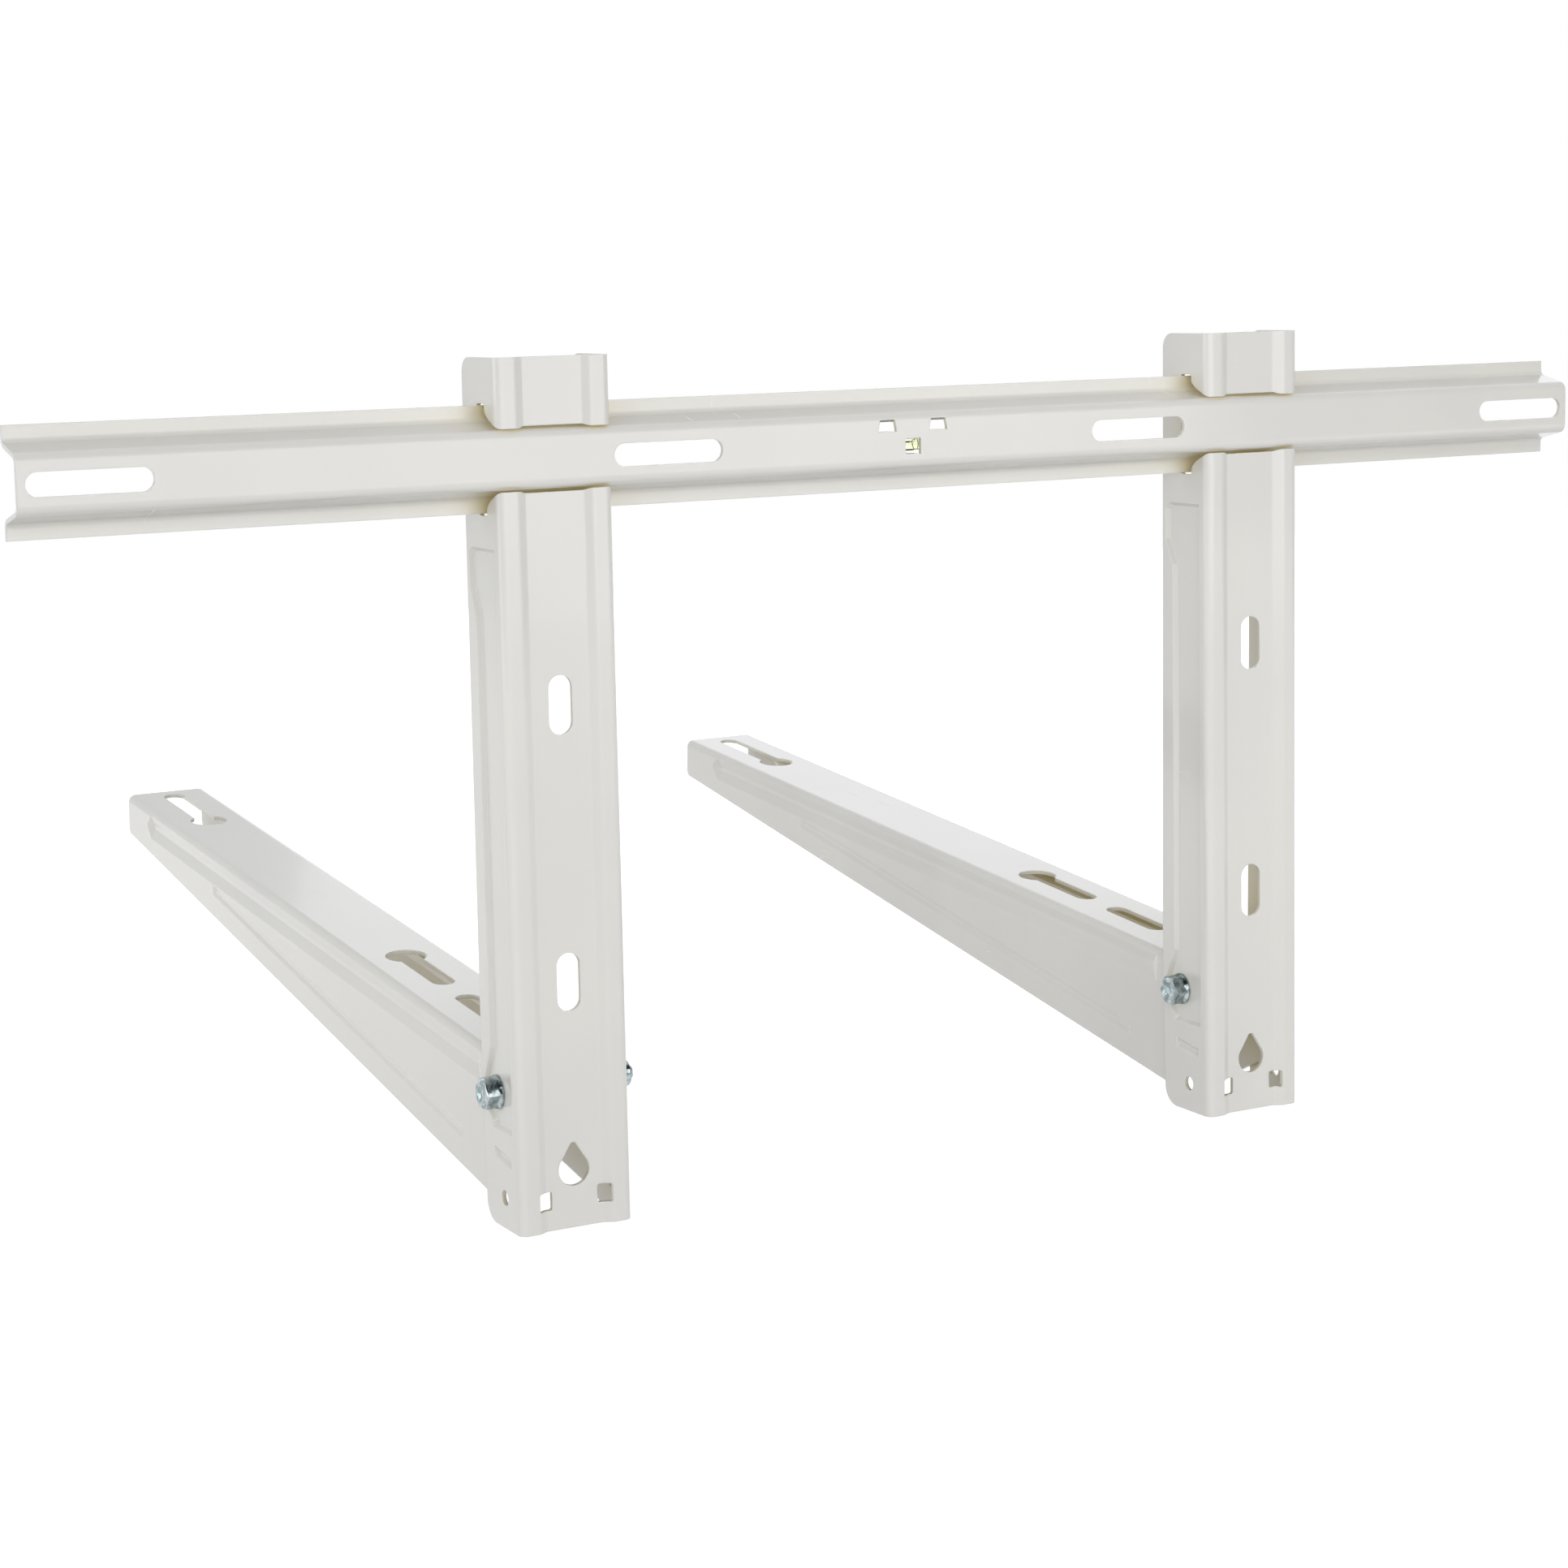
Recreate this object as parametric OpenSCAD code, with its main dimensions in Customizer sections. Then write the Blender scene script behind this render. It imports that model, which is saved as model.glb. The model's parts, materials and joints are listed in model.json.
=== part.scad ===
// Wall bracket for the outdoor unit of an air conditioner
// All sizes are in millimetres. The wall is the plane y = 0 and the arms reach out towards -Y.

/* [Crossbar rail] */
// Length of the crossbar
rail_length = 800; // [600:10:1000]
// Thickness of the crossbar sheet
rail_sheet = 2; // [1.5:0.1:3]
// Height of the web that lies on the wall, corner to corner
rail_web = 24; // [20:0.5:30]
// Height of the whole crossbar over both brims
rail_height = 46.4; // [40:0.2:60]
// Depth of the crossbar from the wall to the back of its brims
rail_depth = 20; // [15:0.5:25]
// Angle of the sloping sides away from straight back
rail_slope = 14; // [5:1:25]
// Inside radius of the crossbar bends
rail_bend = 2.5; // [1:0.5:4]
// Length of each long wall slot
rail_slot_length = 53; // [30:1:80]
// Width of each long wall slot
rail_slot_width = 10; // [7:0.5:12]
// Distance from each end of the crossbar to the middle of its outer slot
outer_slot_inset = 30; // [28:1:120]
// Distance between the two inner wall slots
inner_slot_pitch = 248; // [150:2:300]
// Place of the level and the inner slots along the crossbar
level_place = -12; // [-40:0.5:40]

/* [Spirit level] */
// Length of the clear block
vial_length = 29; // [20:1:40]
// Height of the clear block
vial_height = 8.5; // [7:0.5:12]
// Depth of the clear block
vial_depth = 9; // [7:0.5:12]
// Diameter of the bore that holds the fluid
vial_bore = 6; // [4:0.5:7]
// Height of the block's middle above the crossbar's middle
vial_place = -1.95; // [-4:0.05:2]
// Distance between the two upper tabs
tab_pitch = 26.8; // [20:0.2:32]
// Width of an upper tab at its root
tab_root = 9.8; // [7:0.2:12]
// Width of an upper tab at its end
tab_end = 7.6; // [5:0.2:10]
// Length of an upper tab and height of its window
tab_length = 5.4; // [4:0.2:7]
// Width of the square window
window_width = 8.2; // [6:0.2:10]
// Height of the square window
window_height = 7.1; // [5:0.1:9]

/* [Uprights] */
// Place of the right upright along the crossbar
right_place = 166.4; // [60:0.2:372]
// Place of the left upright along the crossbar
left_place = -202.8; // [-372:0.2:-80]
// Thickness of the upright sheet
upright_sheet = 2; // [1.5:0.1:3]
// Outside width of an upright
upright_width = 54.3; // [45:0.1:70]
// Top of an upright above the crossbar's middle
upright_top = 43.6; // [35:0.2:60]
// How far an upright reaches below its pivot
foot_reach = 59.7; // [57:0.1:80]
// Depth of the side walls at the top
depth_top = 35.5; // [34:0.5:50]
// How much deeper the side walls are above the pivot than at the top
middle_bulge = 2.5; // [0:0.1:5]
// How much deeper the side walls are at the bottom than at the top
foot_bulge = 0.9; // [0:0.1:5]
// Inside radius of the two long bends
upright_bend = 2; // [1:0.5:4]
// Depth of the channel pressed down the middle of the web
web_recess = 2.4; // [1:0.1:4]
// Slope of the sides of that channel
web_recess_slope = 30; // [15:1:60]
// Width of each flat strip beside the channel
ridge_width = 4.2; // [2:0.2:8]
// Radius of the top outer corner
top_corner = 7; // [2:0.5:12]
// Radius of the bottom outer corner
bottom_corner = 9.5; // [2:0.5:16]
// Width of the upright's wall slots
web_slot_width = 11.2; // [8:0.2:14]
// Length of the upright's wall slots
web_slot_length = 26; // [14:1:40]
// Distance of the upper wall slot below the crossbar's middle
upper_slot_drop = 106.6; // [60:0.2:160]
// Distance of the lower wall slot below the crossbar's middle
lower_slot_drop = 228.8; // [180:0.2:260]
// Radius of the round part of the pear hole
pear_radius = 7.5; // [4:0.5:8.5]
// Height of the pear hole's centre above the upright's bottom
pear_rise = 26.3; // [24:0.1:40]
// Distance from the pear hole's centre to its narrow top
pear_reach = 12; // [10:0.2:16]
// Width of the narrow top of the pear hole
pear_tip = 2.4; // [1:0.2:4]
// Width of the two small square holes at the foot
foot_hole_width = 6.8; // [4:0.2:7]
// Height of the two small square holes at the foot
foot_hole_height = 8.4; // [5:0.2:10]
// Distance between the middles of those two holes
foot_hole_pitch = 28.8; // [27:0.2:30]
// Height of those two holes above the upright's bottom
foot_hole_rise = 13.5; // [9:0.5:15]
// Room behind the crossbar in the notch
notch_room = 0.6; // [0.3:0.1:2]
// Room above and below the brims in the notch
brim_room = 0.8; // [0.5:0.1:3]

/* [Pressed panels] */
// Depth of the panel pressed into each side wall
panel_depth = 1.9; // [1:0.1:1.95]
// Run of the sloped rim of that panel
panel_rim = 1.9; // [1:0.1:2.4]
// Distance of the panel's near edge from the wall
panel_near = 7; // [5:0.5:10]
// Distance of the panel's far edge from the wall along its long straight run
panel_far = 28.4; // [22:0.2:30]
// Distance of the panel's top below the crossbar's middle
panel_top = 38; // [34:0.5:60]
// Height of the widened head of the panel
panel_head = 18.5; // [10:0.5:30]
// Radius of the seat that the panel makes round the pivot
seat_radius = 10; // [9.8:0.1:10.4]
// Distance of the short dimple below the pivot
dimple_drop = 27.7; // [22:0.5:32]
// Diameter of the small hole low in each side wall
side_hole = 7; // [4:0.5:9]
// Distance of that hole from the wall
side_hole_out = 16.6; // [12:0.2:24]
// Height of that hole above the upright's bottom
side_hole_rise = 13.8; // [9:0.2:18]

/* [Arms] */
// Thickness of the arm sheet
arm_sheet = 2; // [1.5:0.1:3]
// Side play between an arm and the pressed panels
arm_play = 0.1; // [0.05:0.05:0.5]
// Length of an arm from its pivot to its tip
arm_reach = 539; // [400:1:600]
// Height of the arm's top above its pivot
arm_above = 13.5; // [11:0.5:20]
// Height of an arm at its tip
tip_height = 22.5; // [18:0.5:35]
// Height of an arm at its pivot
root_height = 66; // [50:0.5:90]
// Rise of the arms above level
arm_rise = 5; // [0:0.5:8]
// Inside radius of the arm bends
arm_bend = 2; // [1:0.5:4]
// Radius of the lower corner at the tip
tip_corner = 4; // [1:0.5:10]
// Width of the slots in the arm's top
arm_slot = 11.6; // [8:0.2:14]
// Radius of the round end of each keyhole
key_radius = 10.2; // [7:0.2:14]
// Distance from the arm's tip to the outer keyhole's round end
tip_to_key = 76; // [40:1:150]
// Distance from the arm's tip to the outer keyhole's narrow end
tip_to_key_end = 8; // [5:1:20]
// Distance from the pivot to the inner keyhole's round end
inner_key = 168; // [120:1:220]
// Distance from the pivot to the inner keyhole's narrow end
inner_key_end = 116; // [90:1:150]
// Distance from the pivot to the outer end of the root slot
root_slot_end = 98; // [60:1:110]
// Length of the root slot
root_slot_length = 46; // [20:1:60]
// Depth of the groove along each side of an arm
groove_depth = 1.9; // [0.5:0.1:1.95]
// Distance from the arm's tip to the end of that groove
groove_to_tip = 34; // [20:1:80]
// Depth of the low bead along each side of an arm
bead_depth = 0.8; // [0.3:0.1:1.5]
// Height that is cut off the lower corner at the arm's root
heel_cut = 24.5; // [10:0.5:35]

/* [Pivot bolts] */
// Distance of the pivot from the wall
pivot_out = 25.4; // [20:0.1:32]
// Distance of the pivot below the crossbar's middle
pivot_drop = 279.3; // [240:0.1:320]
// Diameter of the bolt
bolt_size = 8; // [6:1:10]
// Radial room of the arm's hole on the bolt
pivot_fit = 0.05; // [0.01:0.01:0.1]
// Length of the bolt under its head
bolt_length = 65; // [60:1:75]
// Width across the flats of head and nut
hex_size = 13; // [10:1:17]
// Diameter of the flange of head and nut
flange_size = 15.4; // [15:0.1:15.8]
// Height of the bolt head with its flange
head_height = 8; // [6:0.5:10]
// Height of the locking nut with its collar
nut_height = 12.6; // [10:0.1:14]

/* [Hidden] */
round_n = 64;
bend_steps = 4;
half = upright_width / 2;
panel_face = half - panel_depth;
arm_width = 2 * (half - upright_sheet - panel_depth - arm_play);
upright_bottom = pivot_drop + foot_reach;
depth_middle = depth_top + middle_bulge;
depth_bottom = depth_top + foot_bulge;
outer_slot_pitch = rail_length - 2 * outer_slot_inset;
outer_key = arm_reach - tip_to_key;
outer_key_end = arm_reach - tip_to_key_end;
// height at which the side walls of an upright are deepest
bulge_height = 29.3 - pivot_drop;
// how the mouth of the notch widens: depth and extra height
notch_flare = [[0.8, 0], [4.2, 1.8], [9, 4.1], [12.2, 6.6], [12.6, 7.6]];
// press tools reach this far past the face that they start from, and lap this far into sheet
clear = 1;
bite = 0.05;
tip_drop = tip_height - arm_above;
root_drop = root_height - arm_above;
// depth that the arm's back end keeps from the pivot
heel = pivot_out - upright_sheet - 0.2;
heel_foot = (heel + (root_drop - heel_cut) * sin(arm_rise)) / cos(arm_rise);
// depth that the back of the arm's top keeps, so that it swings clear of the pressed channel
top_heel = pivot_out - upright_sheet - web_recess - 0.3;
// flange, hexagon, collar and locking ring of the nut, and the cone on both flanges
flange_rim = 1;
flange_cone = 1.3;
collar = 3.2;
collar_width = 12.2;
ring_height = 2.2;
ring_wall = 1.4;
slope_run = (web_recess - (2 * upright_bend + upright_sheet) * (1 - cos(web_recess_slope)))
    / sin(web_recess_slope);
slope_width = (2 * upright_bend + upright_sheet) * sin(web_recess_slope)
    + slope_run * cos(web_recess_slope);
corner = upright_bend + upright_sheet;
mid_width = upright_width - 2 * (corner + ridge_width + slope_width);
steel_white = [0.89, 0.88, 0.86];
zinc = [0.72, 0.76, 0.80];

// A sheet seen edge on, drawn as flats and bends from the start point along +X.
// The sheet lies on the right of the path; each step is [flat, turn to the right, inside radius].
module fold_path(steps, t, lap = 0, i = 0) {
    if (i < len(steps)) {
        flat = steps[i][0];
        turn = steps[i][1];
        r = steps[i][2];
        // a flat may run a hair into its bends, by the lap, so that the sheet stays one piece
        translate([-lap, -t]) square([flat + 2 * lap, t]);
        translate([flat, 0]) {
            if (turn > 0) {
                translate([0, -r - t]) bend_sector(r, r + t, 90 - turn, 90);
                translate([(r + t) * sin(turn), -(r + t) * (1 - cos(turn))])
                    rotate(-turn) fold_path(steps, t, lap, i + 1);
            } else if (turn < 0) {
                translate([0, r]) bend_sector(r, r + t, -90, -90 - turn);
                translate([r * sin(-turn), r * (1 - cos(turn))])
                    rotate(-turn) fold_path(steps, t, lap, i + 1);
            }
        }
    }
}

// The part of a ring between two angles that are at most 90 degrees apart.
module bend_sector(inner, outer, from, to) {
    far = 2 * outer;
    mid = (from + to) / 2;
    intersection() {
        difference() {
            circle(r = outer, $fn = round_n);
            circle(r = inner, $fn = round_n);
        }
        polygon([[0, 0], far * [cos(from), sin(from)], far * 1.2 * [cos(mid), sin(mid)],
            far * [cos(to), sin(to)]]);
    }
}

// Turns a drawing of depth (to the right) and height into a bar along X, centred on x = 0.
module along_x(width) {
    translate([width / 2, 0, 0]) rotate([90, 0, -90]) linear_extrude(width) children();
}

// Turns a drawing of width and height into a tool that runs from the wall towards -Y.
module along_y(from, to) {
    translate([0, -from, 0]) rotate([90, 0, 0]) linear_extrude(to - from) children();
}

// A slot with round ends, lying along X.
module slot_x(length, width) {
    square([length - width, width], center = true);
    for (s = [-1, 1]) translate([s * (length - width) / 2, 0]) circle(d = width, $fn = round_n);
}

// A rectangle with round corners.
module soft_rect(w, h, r) {
    square([w - 2 * r, h], center = true);
    square([w, h - 2 * r], center = true);
    for (a = [-1, 1], b = [-1, 1]) translate([a * (w / 2 - r), b * (h / 2 - r)])
        circle(r = r, $fn = round_n);
}

// Point where the lines through a-b and b-c meet after both move inwards by d.
function corner_in(a, b, c, d) =
    let (u = (b - a) / norm(b - a), v = (c - b) / norm(c - b),
        n = [-u[1], u[0]], m = [-v[1], v[0]],
        k = 1 + n[0] * m[0] + n[1] * m[1])
    b + d * (n + m) / k;

// An anticlockwise outline moved inwards by d.
function inset(p, d) = [for (i = [0 : len(p) - 1])
    corner_in(p[(i + len(p) - 1) % len(p)], p[i], p[(i + 1) % len(p)], d)];

// A plug with a sloping rim: full outline from above to z = 0, inset outline at z = -depth.
module pressing(p, depth, rim, above) {
    n = len(p);
    q = inset(p, rim);
    polyhedron(
        points = concat([for (a = p) [a[0], a[1], above]], [for (a = p) [a[0], a[1], 0]],
            [for (a = q) [a[0], a[1], -depth]]),
        faces = concat([[for (i = [n - 1 : -1 : 0]) i]],
            [for (i = [0 : n - 1]) [i, (i + 1) % n, n + (i + 1) % n, n + i]],
            [for (i = [0 : n - 1]) [n + i, n + (i + 1) % n, 2 * n + (i + 1) % n, 2 * n + i]],
            [[for (i = [0 : n - 1]) 2 * n + i]]));
}

// The pressing placed on the outer face of both side walls at |x| = face.
// The outline is drawn as depth from the wall and height.
module on_both_sides(face) {
    for (s = [0, 1]) mirror([s, 0, 0])
        translate([face, 0, 0]) rotate([90, 0, 90]) mirror([1, 0, 0]) children();
}

// Outlines in the side wall of an upright, as depth from the wall and height, anticlockwise.
// The panel is a long straight run with a widened head, and a seat round the pivot.
seat = seat_radius;
panel_foot = -pivot_drop - 1.62 * seat;
head_far = depth_top - 1.5;
head_low = -panel_top - panel_head;
// both widenings run back into the straight run along a slope of this many heights per depth
panel_slope = 2.17;
panel_run = [[panel_near, panel_foot], [panel_far, panel_foot], [panel_far, -panel_top],
    [panel_near, -panel_top]];
panel_head_line = [[panel_near, head_low - panel_slope * (head_far - panel_near)],
    [head_far, head_low], [head_far, -panel_top - 3], [head_far - 2.5, -panel_top],
    [panel_near, -panel_top]];
panel_seat_line = [[panel_near, panel_foot], [pivot_out, panel_foot],
    [pivot_out + 0.6 * seat, -pivot_drop - 1.07 * seat],
    [pivot_out + seat, -pivot_drop - 0.47 * seat], [pivot_out + seat, -pivot_drop + 0.47 * seat],
    [panel_near, -pivot_drop + 0.47 * seat + panel_slope * (pivot_out + seat - panel_near)]];
// The short dimple below the pivot steadies the side of the arm.
dimple_line = [for (p = [[-16.4, -4], [1.6, -1.5], [1.6, 3.5], [-16.4, 1]])
    [pivot_out, -pivot_drop - dimple_drop] + p];
dimple_rim = 1.6;

// Outlines in the side of an arm, as distance from the pivot and height above it.
groove_far = arm_reach - groove_to_tip;
groove_low = -3;
groove_high = arm_above - 2.5;
groove_near = 24;
groove_rim = 6;
groove_line = [[groove_near, groove_low], [groove_far - 8, groove_low],
    [groove_far, (groove_low + groove_high) / 2], [groove_far - 8, groove_high],
    [groove_near, groove_high]];
bead_near = 44;
bead_far = arm_reach - 150;
bead_rise = 12;
bead_width = 6;
bead_rim = 2.4;
function low_edge(u) = -root_drop + (root_drop - tip_drop) / arm_reach * u;
bead_line = [[bead_near, low_edge(bead_near) + bead_rise],
    [bead_far, low_edge(bead_far) + bead_rise],
    [bead_far, low_edge(bead_far) + bead_rise + bead_width],
    [bead_near, low_edge(bead_near) + bead_rise + bead_width]];

module rail_section() {
    r = rail_bend;
    t = rail_sheet;
    turn = 90 - rail_slope;
    web = rail_web - 2 * (r + t) * tan(turn / 2);
    // lengths of the sloping side and of the brim after the bends have taken their share
    side = (rail_depth - t - (2 * r + t) * (1 - cos(turn))) / sin(turn);
    brim = (rail_height - web) / 2 - (2 * r + t) * sin(turn) - side * cos(turn);
    translate([rail_depth - t, -rail_height / 2]) rotate(90)
        fold_path([[brim, -turn, r], [side, turn, r], [web, turn, r], [side, -turn, r],
            [brim, 0, 0]], t, 0.02);
}

module trapezoid(root, end, length) {
    polygon([[-root / 2, 0], [root / 2, 0], [end / 2, length], [-end / 2, length]]);
}

tab_top = vial_place + vial_height / 2 + rail_sheet;
shelf_top = vial_place - vial_height / 2;

module crossbar_rail() {
    color(steel_white) difference() {
        union() {
            along_x(rail_length) rail_section();
            // upper tabs, pushed back out of their windows over the block
            for (s = [-1, 1]) translate([level_place + s * tab_pitch / 2, -rail_sheet / 2, tab_top])
                mirror([0, 1, 0]) translate([0, 0, -rail_sheet]) linear_extrude(rail_sheet)
                    trapezoid(tab_root, tab_end, tab_length + rail_sheet / 2);
            // lower tab, the shelf under the block
            translate([level_place - window_width / 2, -rail_sheet - window_height,
                shelf_top - rail_sheet])
                cube([window_width, window_height + rail_sheet / 2, rail_sheet]);
        }
        for (x = [-outer_slot_pitch / 2, outer_slot_pitch / 2,
            level_place - inner_slot_pitch / 2, level_place + inner_slot_pitch / 2])
            translate([x, 0, 0]) along_y(-1, rail_sheet + 1)
                slot_x(rail_slot_length, rail_slot_width);
        for (s = [-1, 1]) translate([level_place + s * tab_pitch / 2, 0, tab_top])
            along_y(-1, rail_sheet + 0.01) trapezoid(tab_root, tab_end, tab_length);
        translate([level_place, 0, shelf_top + window_height / 2])
            along_y(-1, rail_sheet + 0.01) square([window_width, window_height], center = true);
    }
}

vial_front = rail_sheet + 0.05;
bubble_length = 8;
plug_length = 3;

module at_vial() {
    translate([level_place, -vial_front - vial_depth / 2, vial_place]) children();
}

module level_vial_block() {
    color([0.86, 0.93, 0.45, 0.6]) at_vial() difference() {
        cube([vial_length, vial_depth, vial_height], center = true);
        translate([-vial_length / 2 + 2, 0, 0]) rotate([0, 90, 0])
            cylinder(d = vial_bore, h = vial_length, $fn = round_n);
    }
}

module level_vial_fluid() {
    r = vial_bore / 2;
    color([0.80, 0.95, 0.20, 0.7]) at_vial() difference() {
        translate([-vial_length / 2 + 2, 0, 0]) rotate([0, 90, 0])
            cylinder(r = r, h = vial_length - 2 - plug_length, $fn = round_n);
        // the air bubble at rest under the top of the bore
        translate([-bubble_length / 2 + 1, 0, r * 0.62]) rotate([0, 90, 0])
            cylinder(r = r * 0.5, h = bubble_length - 2, $fn = round_n);
        for (s = [-1, 1]) translate([s * (bubble_length / 2 - 1), 0, r * 0.62])
            sphere(r = r * 0.5, $fn = round_n);
    }
}

module level_vial_plug() {
    color([0.85, 0.85, 0.80]) at_vial() translate([vial_length / 2 - plug_length, 0, 0])
        rotate([0, 90, 0]) cylinder(d = vial_bore, h = plug_length, $fn = round_n);
}

// Points along a round bend, from one angle to another about its centre.
function bend_points(at, r, from, to) = [for (i = [0 : bend_steps])
    let (a = from + (to - from) * i / bend_steps) at + r * [cos(a), sin(a)]];

// A line of points mirrored to the other side of x = 0, or taken backwards.
function flipped(p) = [for (q = p) [-q[0], q[1]]];
function backwards(p) = [for (i = [len(p) - 1 : -1 : 0]) p[i]];

// The sheet of an upright seen from its end: two side walls, and a web whose middle is
// pressed away from the wall between two flat strips that lie on it.
module upright_section() {
    deep = max(depth_top, depth_middle, depth_bottom);
    r = upright_bend;
    t = upright_sheet;
    a = web_recess_slope;
    foot = [mid_width / 2, r - web_recess];
    head = [mid_width / 2 + slope_width, -corner];
    wall_face = concat(bend_points(foot, r, -90, a - 90), bend_points(head, r + t, 90 + a, 90),
        [[half - corner, 0]]);
    room_face = concat(bend_points(foot, r + t, -90, a - 90), bend_points(head, r, 90 + a, 90),
        [[half - corner, -t]]);
    polygon(concat(backwards(flipped(wall_face)), wall_face, backwards(room_face),
        flipped(room_face)));
    for (s = [0, 1]) mirror([s, 0]) {
        translate([half - corner, -corner]) bend_sector(r, r + t, 0, 90);
        translate([half - t, -deep]) square([t, deep - corner]);
    }
}

// Side view of an upright as depth from the wall and height.
module upright_side() {
    z0 = -upright_bottom;
    z1 = upright_top;
    polygon([[-1, z0], [depth_bottom - bottom_corner, z0], [depth_bottom, z0 + bottom_corner],
        [depth_middle, bulge_height], [depth_top, z1 - top_corner], [depth_top - top_corner, z1], [-1, z1]]);
    translate([depth_bottom - bottom_corner, z0 + bottom_corner])
        circle(r = bottom_corner, $fn = round_n);
    translate([depth_top - top_corner, z1 - top_corner]) circle(r = top_corner, $fn = round_n);
}

// Side view of the notch that the crossbar lies in: a flared mouth for the rail's slopes,
// and behind it a box for the brims.
module notch_side() {
    h = rail_height / 2 + brim_room;
    d = rail_depth + notch_room;
    w = rail_web / 2 + 1.4;
    mouth = concat([[-clear, 0]], notch_flare);
    last = notch_flare[len(notch_flare) - 1];
    polygon(concat([for (p = mouth) [p[0], -w - p[1]]],
        [for (i = [len(mouth) - 1 : -1 : 0]) [mouth[i][0], w + mouth[i][1]]]));
    translate([(last[0] + d) / 2, 0]) soft_rect(d - last[0], 2 * h, 1);
    translate([last[0] - 0.6, -w - last[1] + 2.6]) square([d - last[0] + 0.6, 2 * (w + last[1] - 2.6)]);
}

// The pear hole: a round hole whose flanks run up into a narrow tip.
module pear() {
    // the flanks start a hair inside the round part, so that they meet it cleanly
    r = pear_radius - 0.1;
    tip = [pear_tip / 2, pear_reach];
    a = acos(r / norm(tip)) + atan(tip[0] / tip[1]);
    circle(r = pear_radius, $fn = round_n);
    polygon([r * [sin(a), cos(a)], tip, [-tip[0], tip[1]], r * [-sin(a), cos(a)]]);
}

module upright_pressings(face, lap, above) {
    on_both_sides(face) {
        pressing(panel_run, panel_depth + lap, panel_rim, above);
        pressing(panel_head_line, panel_depth + lap, panel_rim, above);
        pressing(panel_seat_line, panel_depth + lap, panel_rim, above);
        pressing(dimple_line, panel_depth + lap, dimple_rim, above);
    }
}

module upright() {
    across = upright_width + 2 * clear;
    through = web_recess + upright_sheet + 5;
    color(steel_white) difference() {
        union() {
            intersection() {
                translate([0, 0, -upright_bottom - clear])
                    linear_extrude(upright_bottom + upright_top + 2 * clear) upright_section();
                along_x(across) upright_side();
            }
            upright_pressings(half - upright_sheet + bite, bite, 0.001);
        }
        upright_pressings(half, 0, clear);
        along_x(across) notch_side();
        for (z = [upper_slot_drop, lower_slot_drop]) translate([0, 0, -z])
            along_y(-clear, through) rotate(90) slot_x(web_slot_length, web_slot_width);
        translate([0, 0, pear_rise - upright_bottom]) along_y(-clear, through) pear();
        for (s = [-1, 1]) translate([s * foot_hole_pitch / 2, 0, foot_hole_rise - upright_bottom])
            along_y(-clear, through) soft_rect(foot_hole_width, foot_hole_height, 1);
        translate([0, -side_hole_out, side_hole_rise - upright_bottom]) rotate([0, 90, 0])
            cylinder(d = side_hole, h = across, center = true, $fn = round_n);
        translate([0, -pivot_out, -pivot_drop]) rotate([0, 90, 0])
            cylinder(r = bolt_size / 2 + 0.15, h = across, center = true, $fn = round_n);
    }
}

module at_right() { translate([right_place, 0, 0]) children(); }
module at_left() { translate([left_place, 0, 0]) children(); }

module left_upright() { at_left() upright(); }
module right_upright() { at_right() upright(); }

// Side view of an arm as distance from the pivot and height above it.
module arm_side() {
    r = tip_corner;
    difference() {
        polygon([[0, arm_above], [arm_reach, arm_above], [arm_reach, r - tip_drop],
            [arm_reach - r, -tip_drop + bite], [0.4 * heel, low_edge(0.4 * heel)],
            [-heel_foot, heel_cut - root_drop], [-heel, 0], [-10, 0]]);
        translate([-2 * heel, 0]) square(2 * heel);
    }
    translate([arm_reach - r, r - tip_drop]) circle(r = r, $fn = round_n);
    // the heel is round about the pivot so that the arm can fold up
    intersection() {
        circle(r = heel, $fn = 96);
        translate([-2 * heel, -0.5]) square([2 * heel + clear, arm_above + 0.5]);
    }
}

// Side view of what the back of the arm's top loses where it faces the pressed channel.
module top_end_side() {
    difference() {
        translate([-2 * heel, arm_above - arm_sheet - clear])
            square([2 * heel, arm_sheet + 2 * clear]);
        circle(r = top_heel, $fn = 96);
    }
}

// A keyhole in the arm's top: round at one end, with a slot towards the other.
module keyhole(at, to) {
    s = to > at ? 1 : -1;
    r = arm_slot / 2;
    translate([0, -at]) circle(r = key_radius, $fn = round_n);
    translate([-r, -max(at, to - s * r)]) square([arm_slot, abs(to - at) - r]);
    translate([0, -to + s * r]) circle(r = r, $fn = round_n);
}

module arm_pressings(face, lap, above) {
    on_both_sides(face) {
        pressing(groove_line, groove_depth + lap, groove_rim, above);
        pressing(bead_line, bead_depth + lap, bead_rim, above);
    }
}

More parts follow.
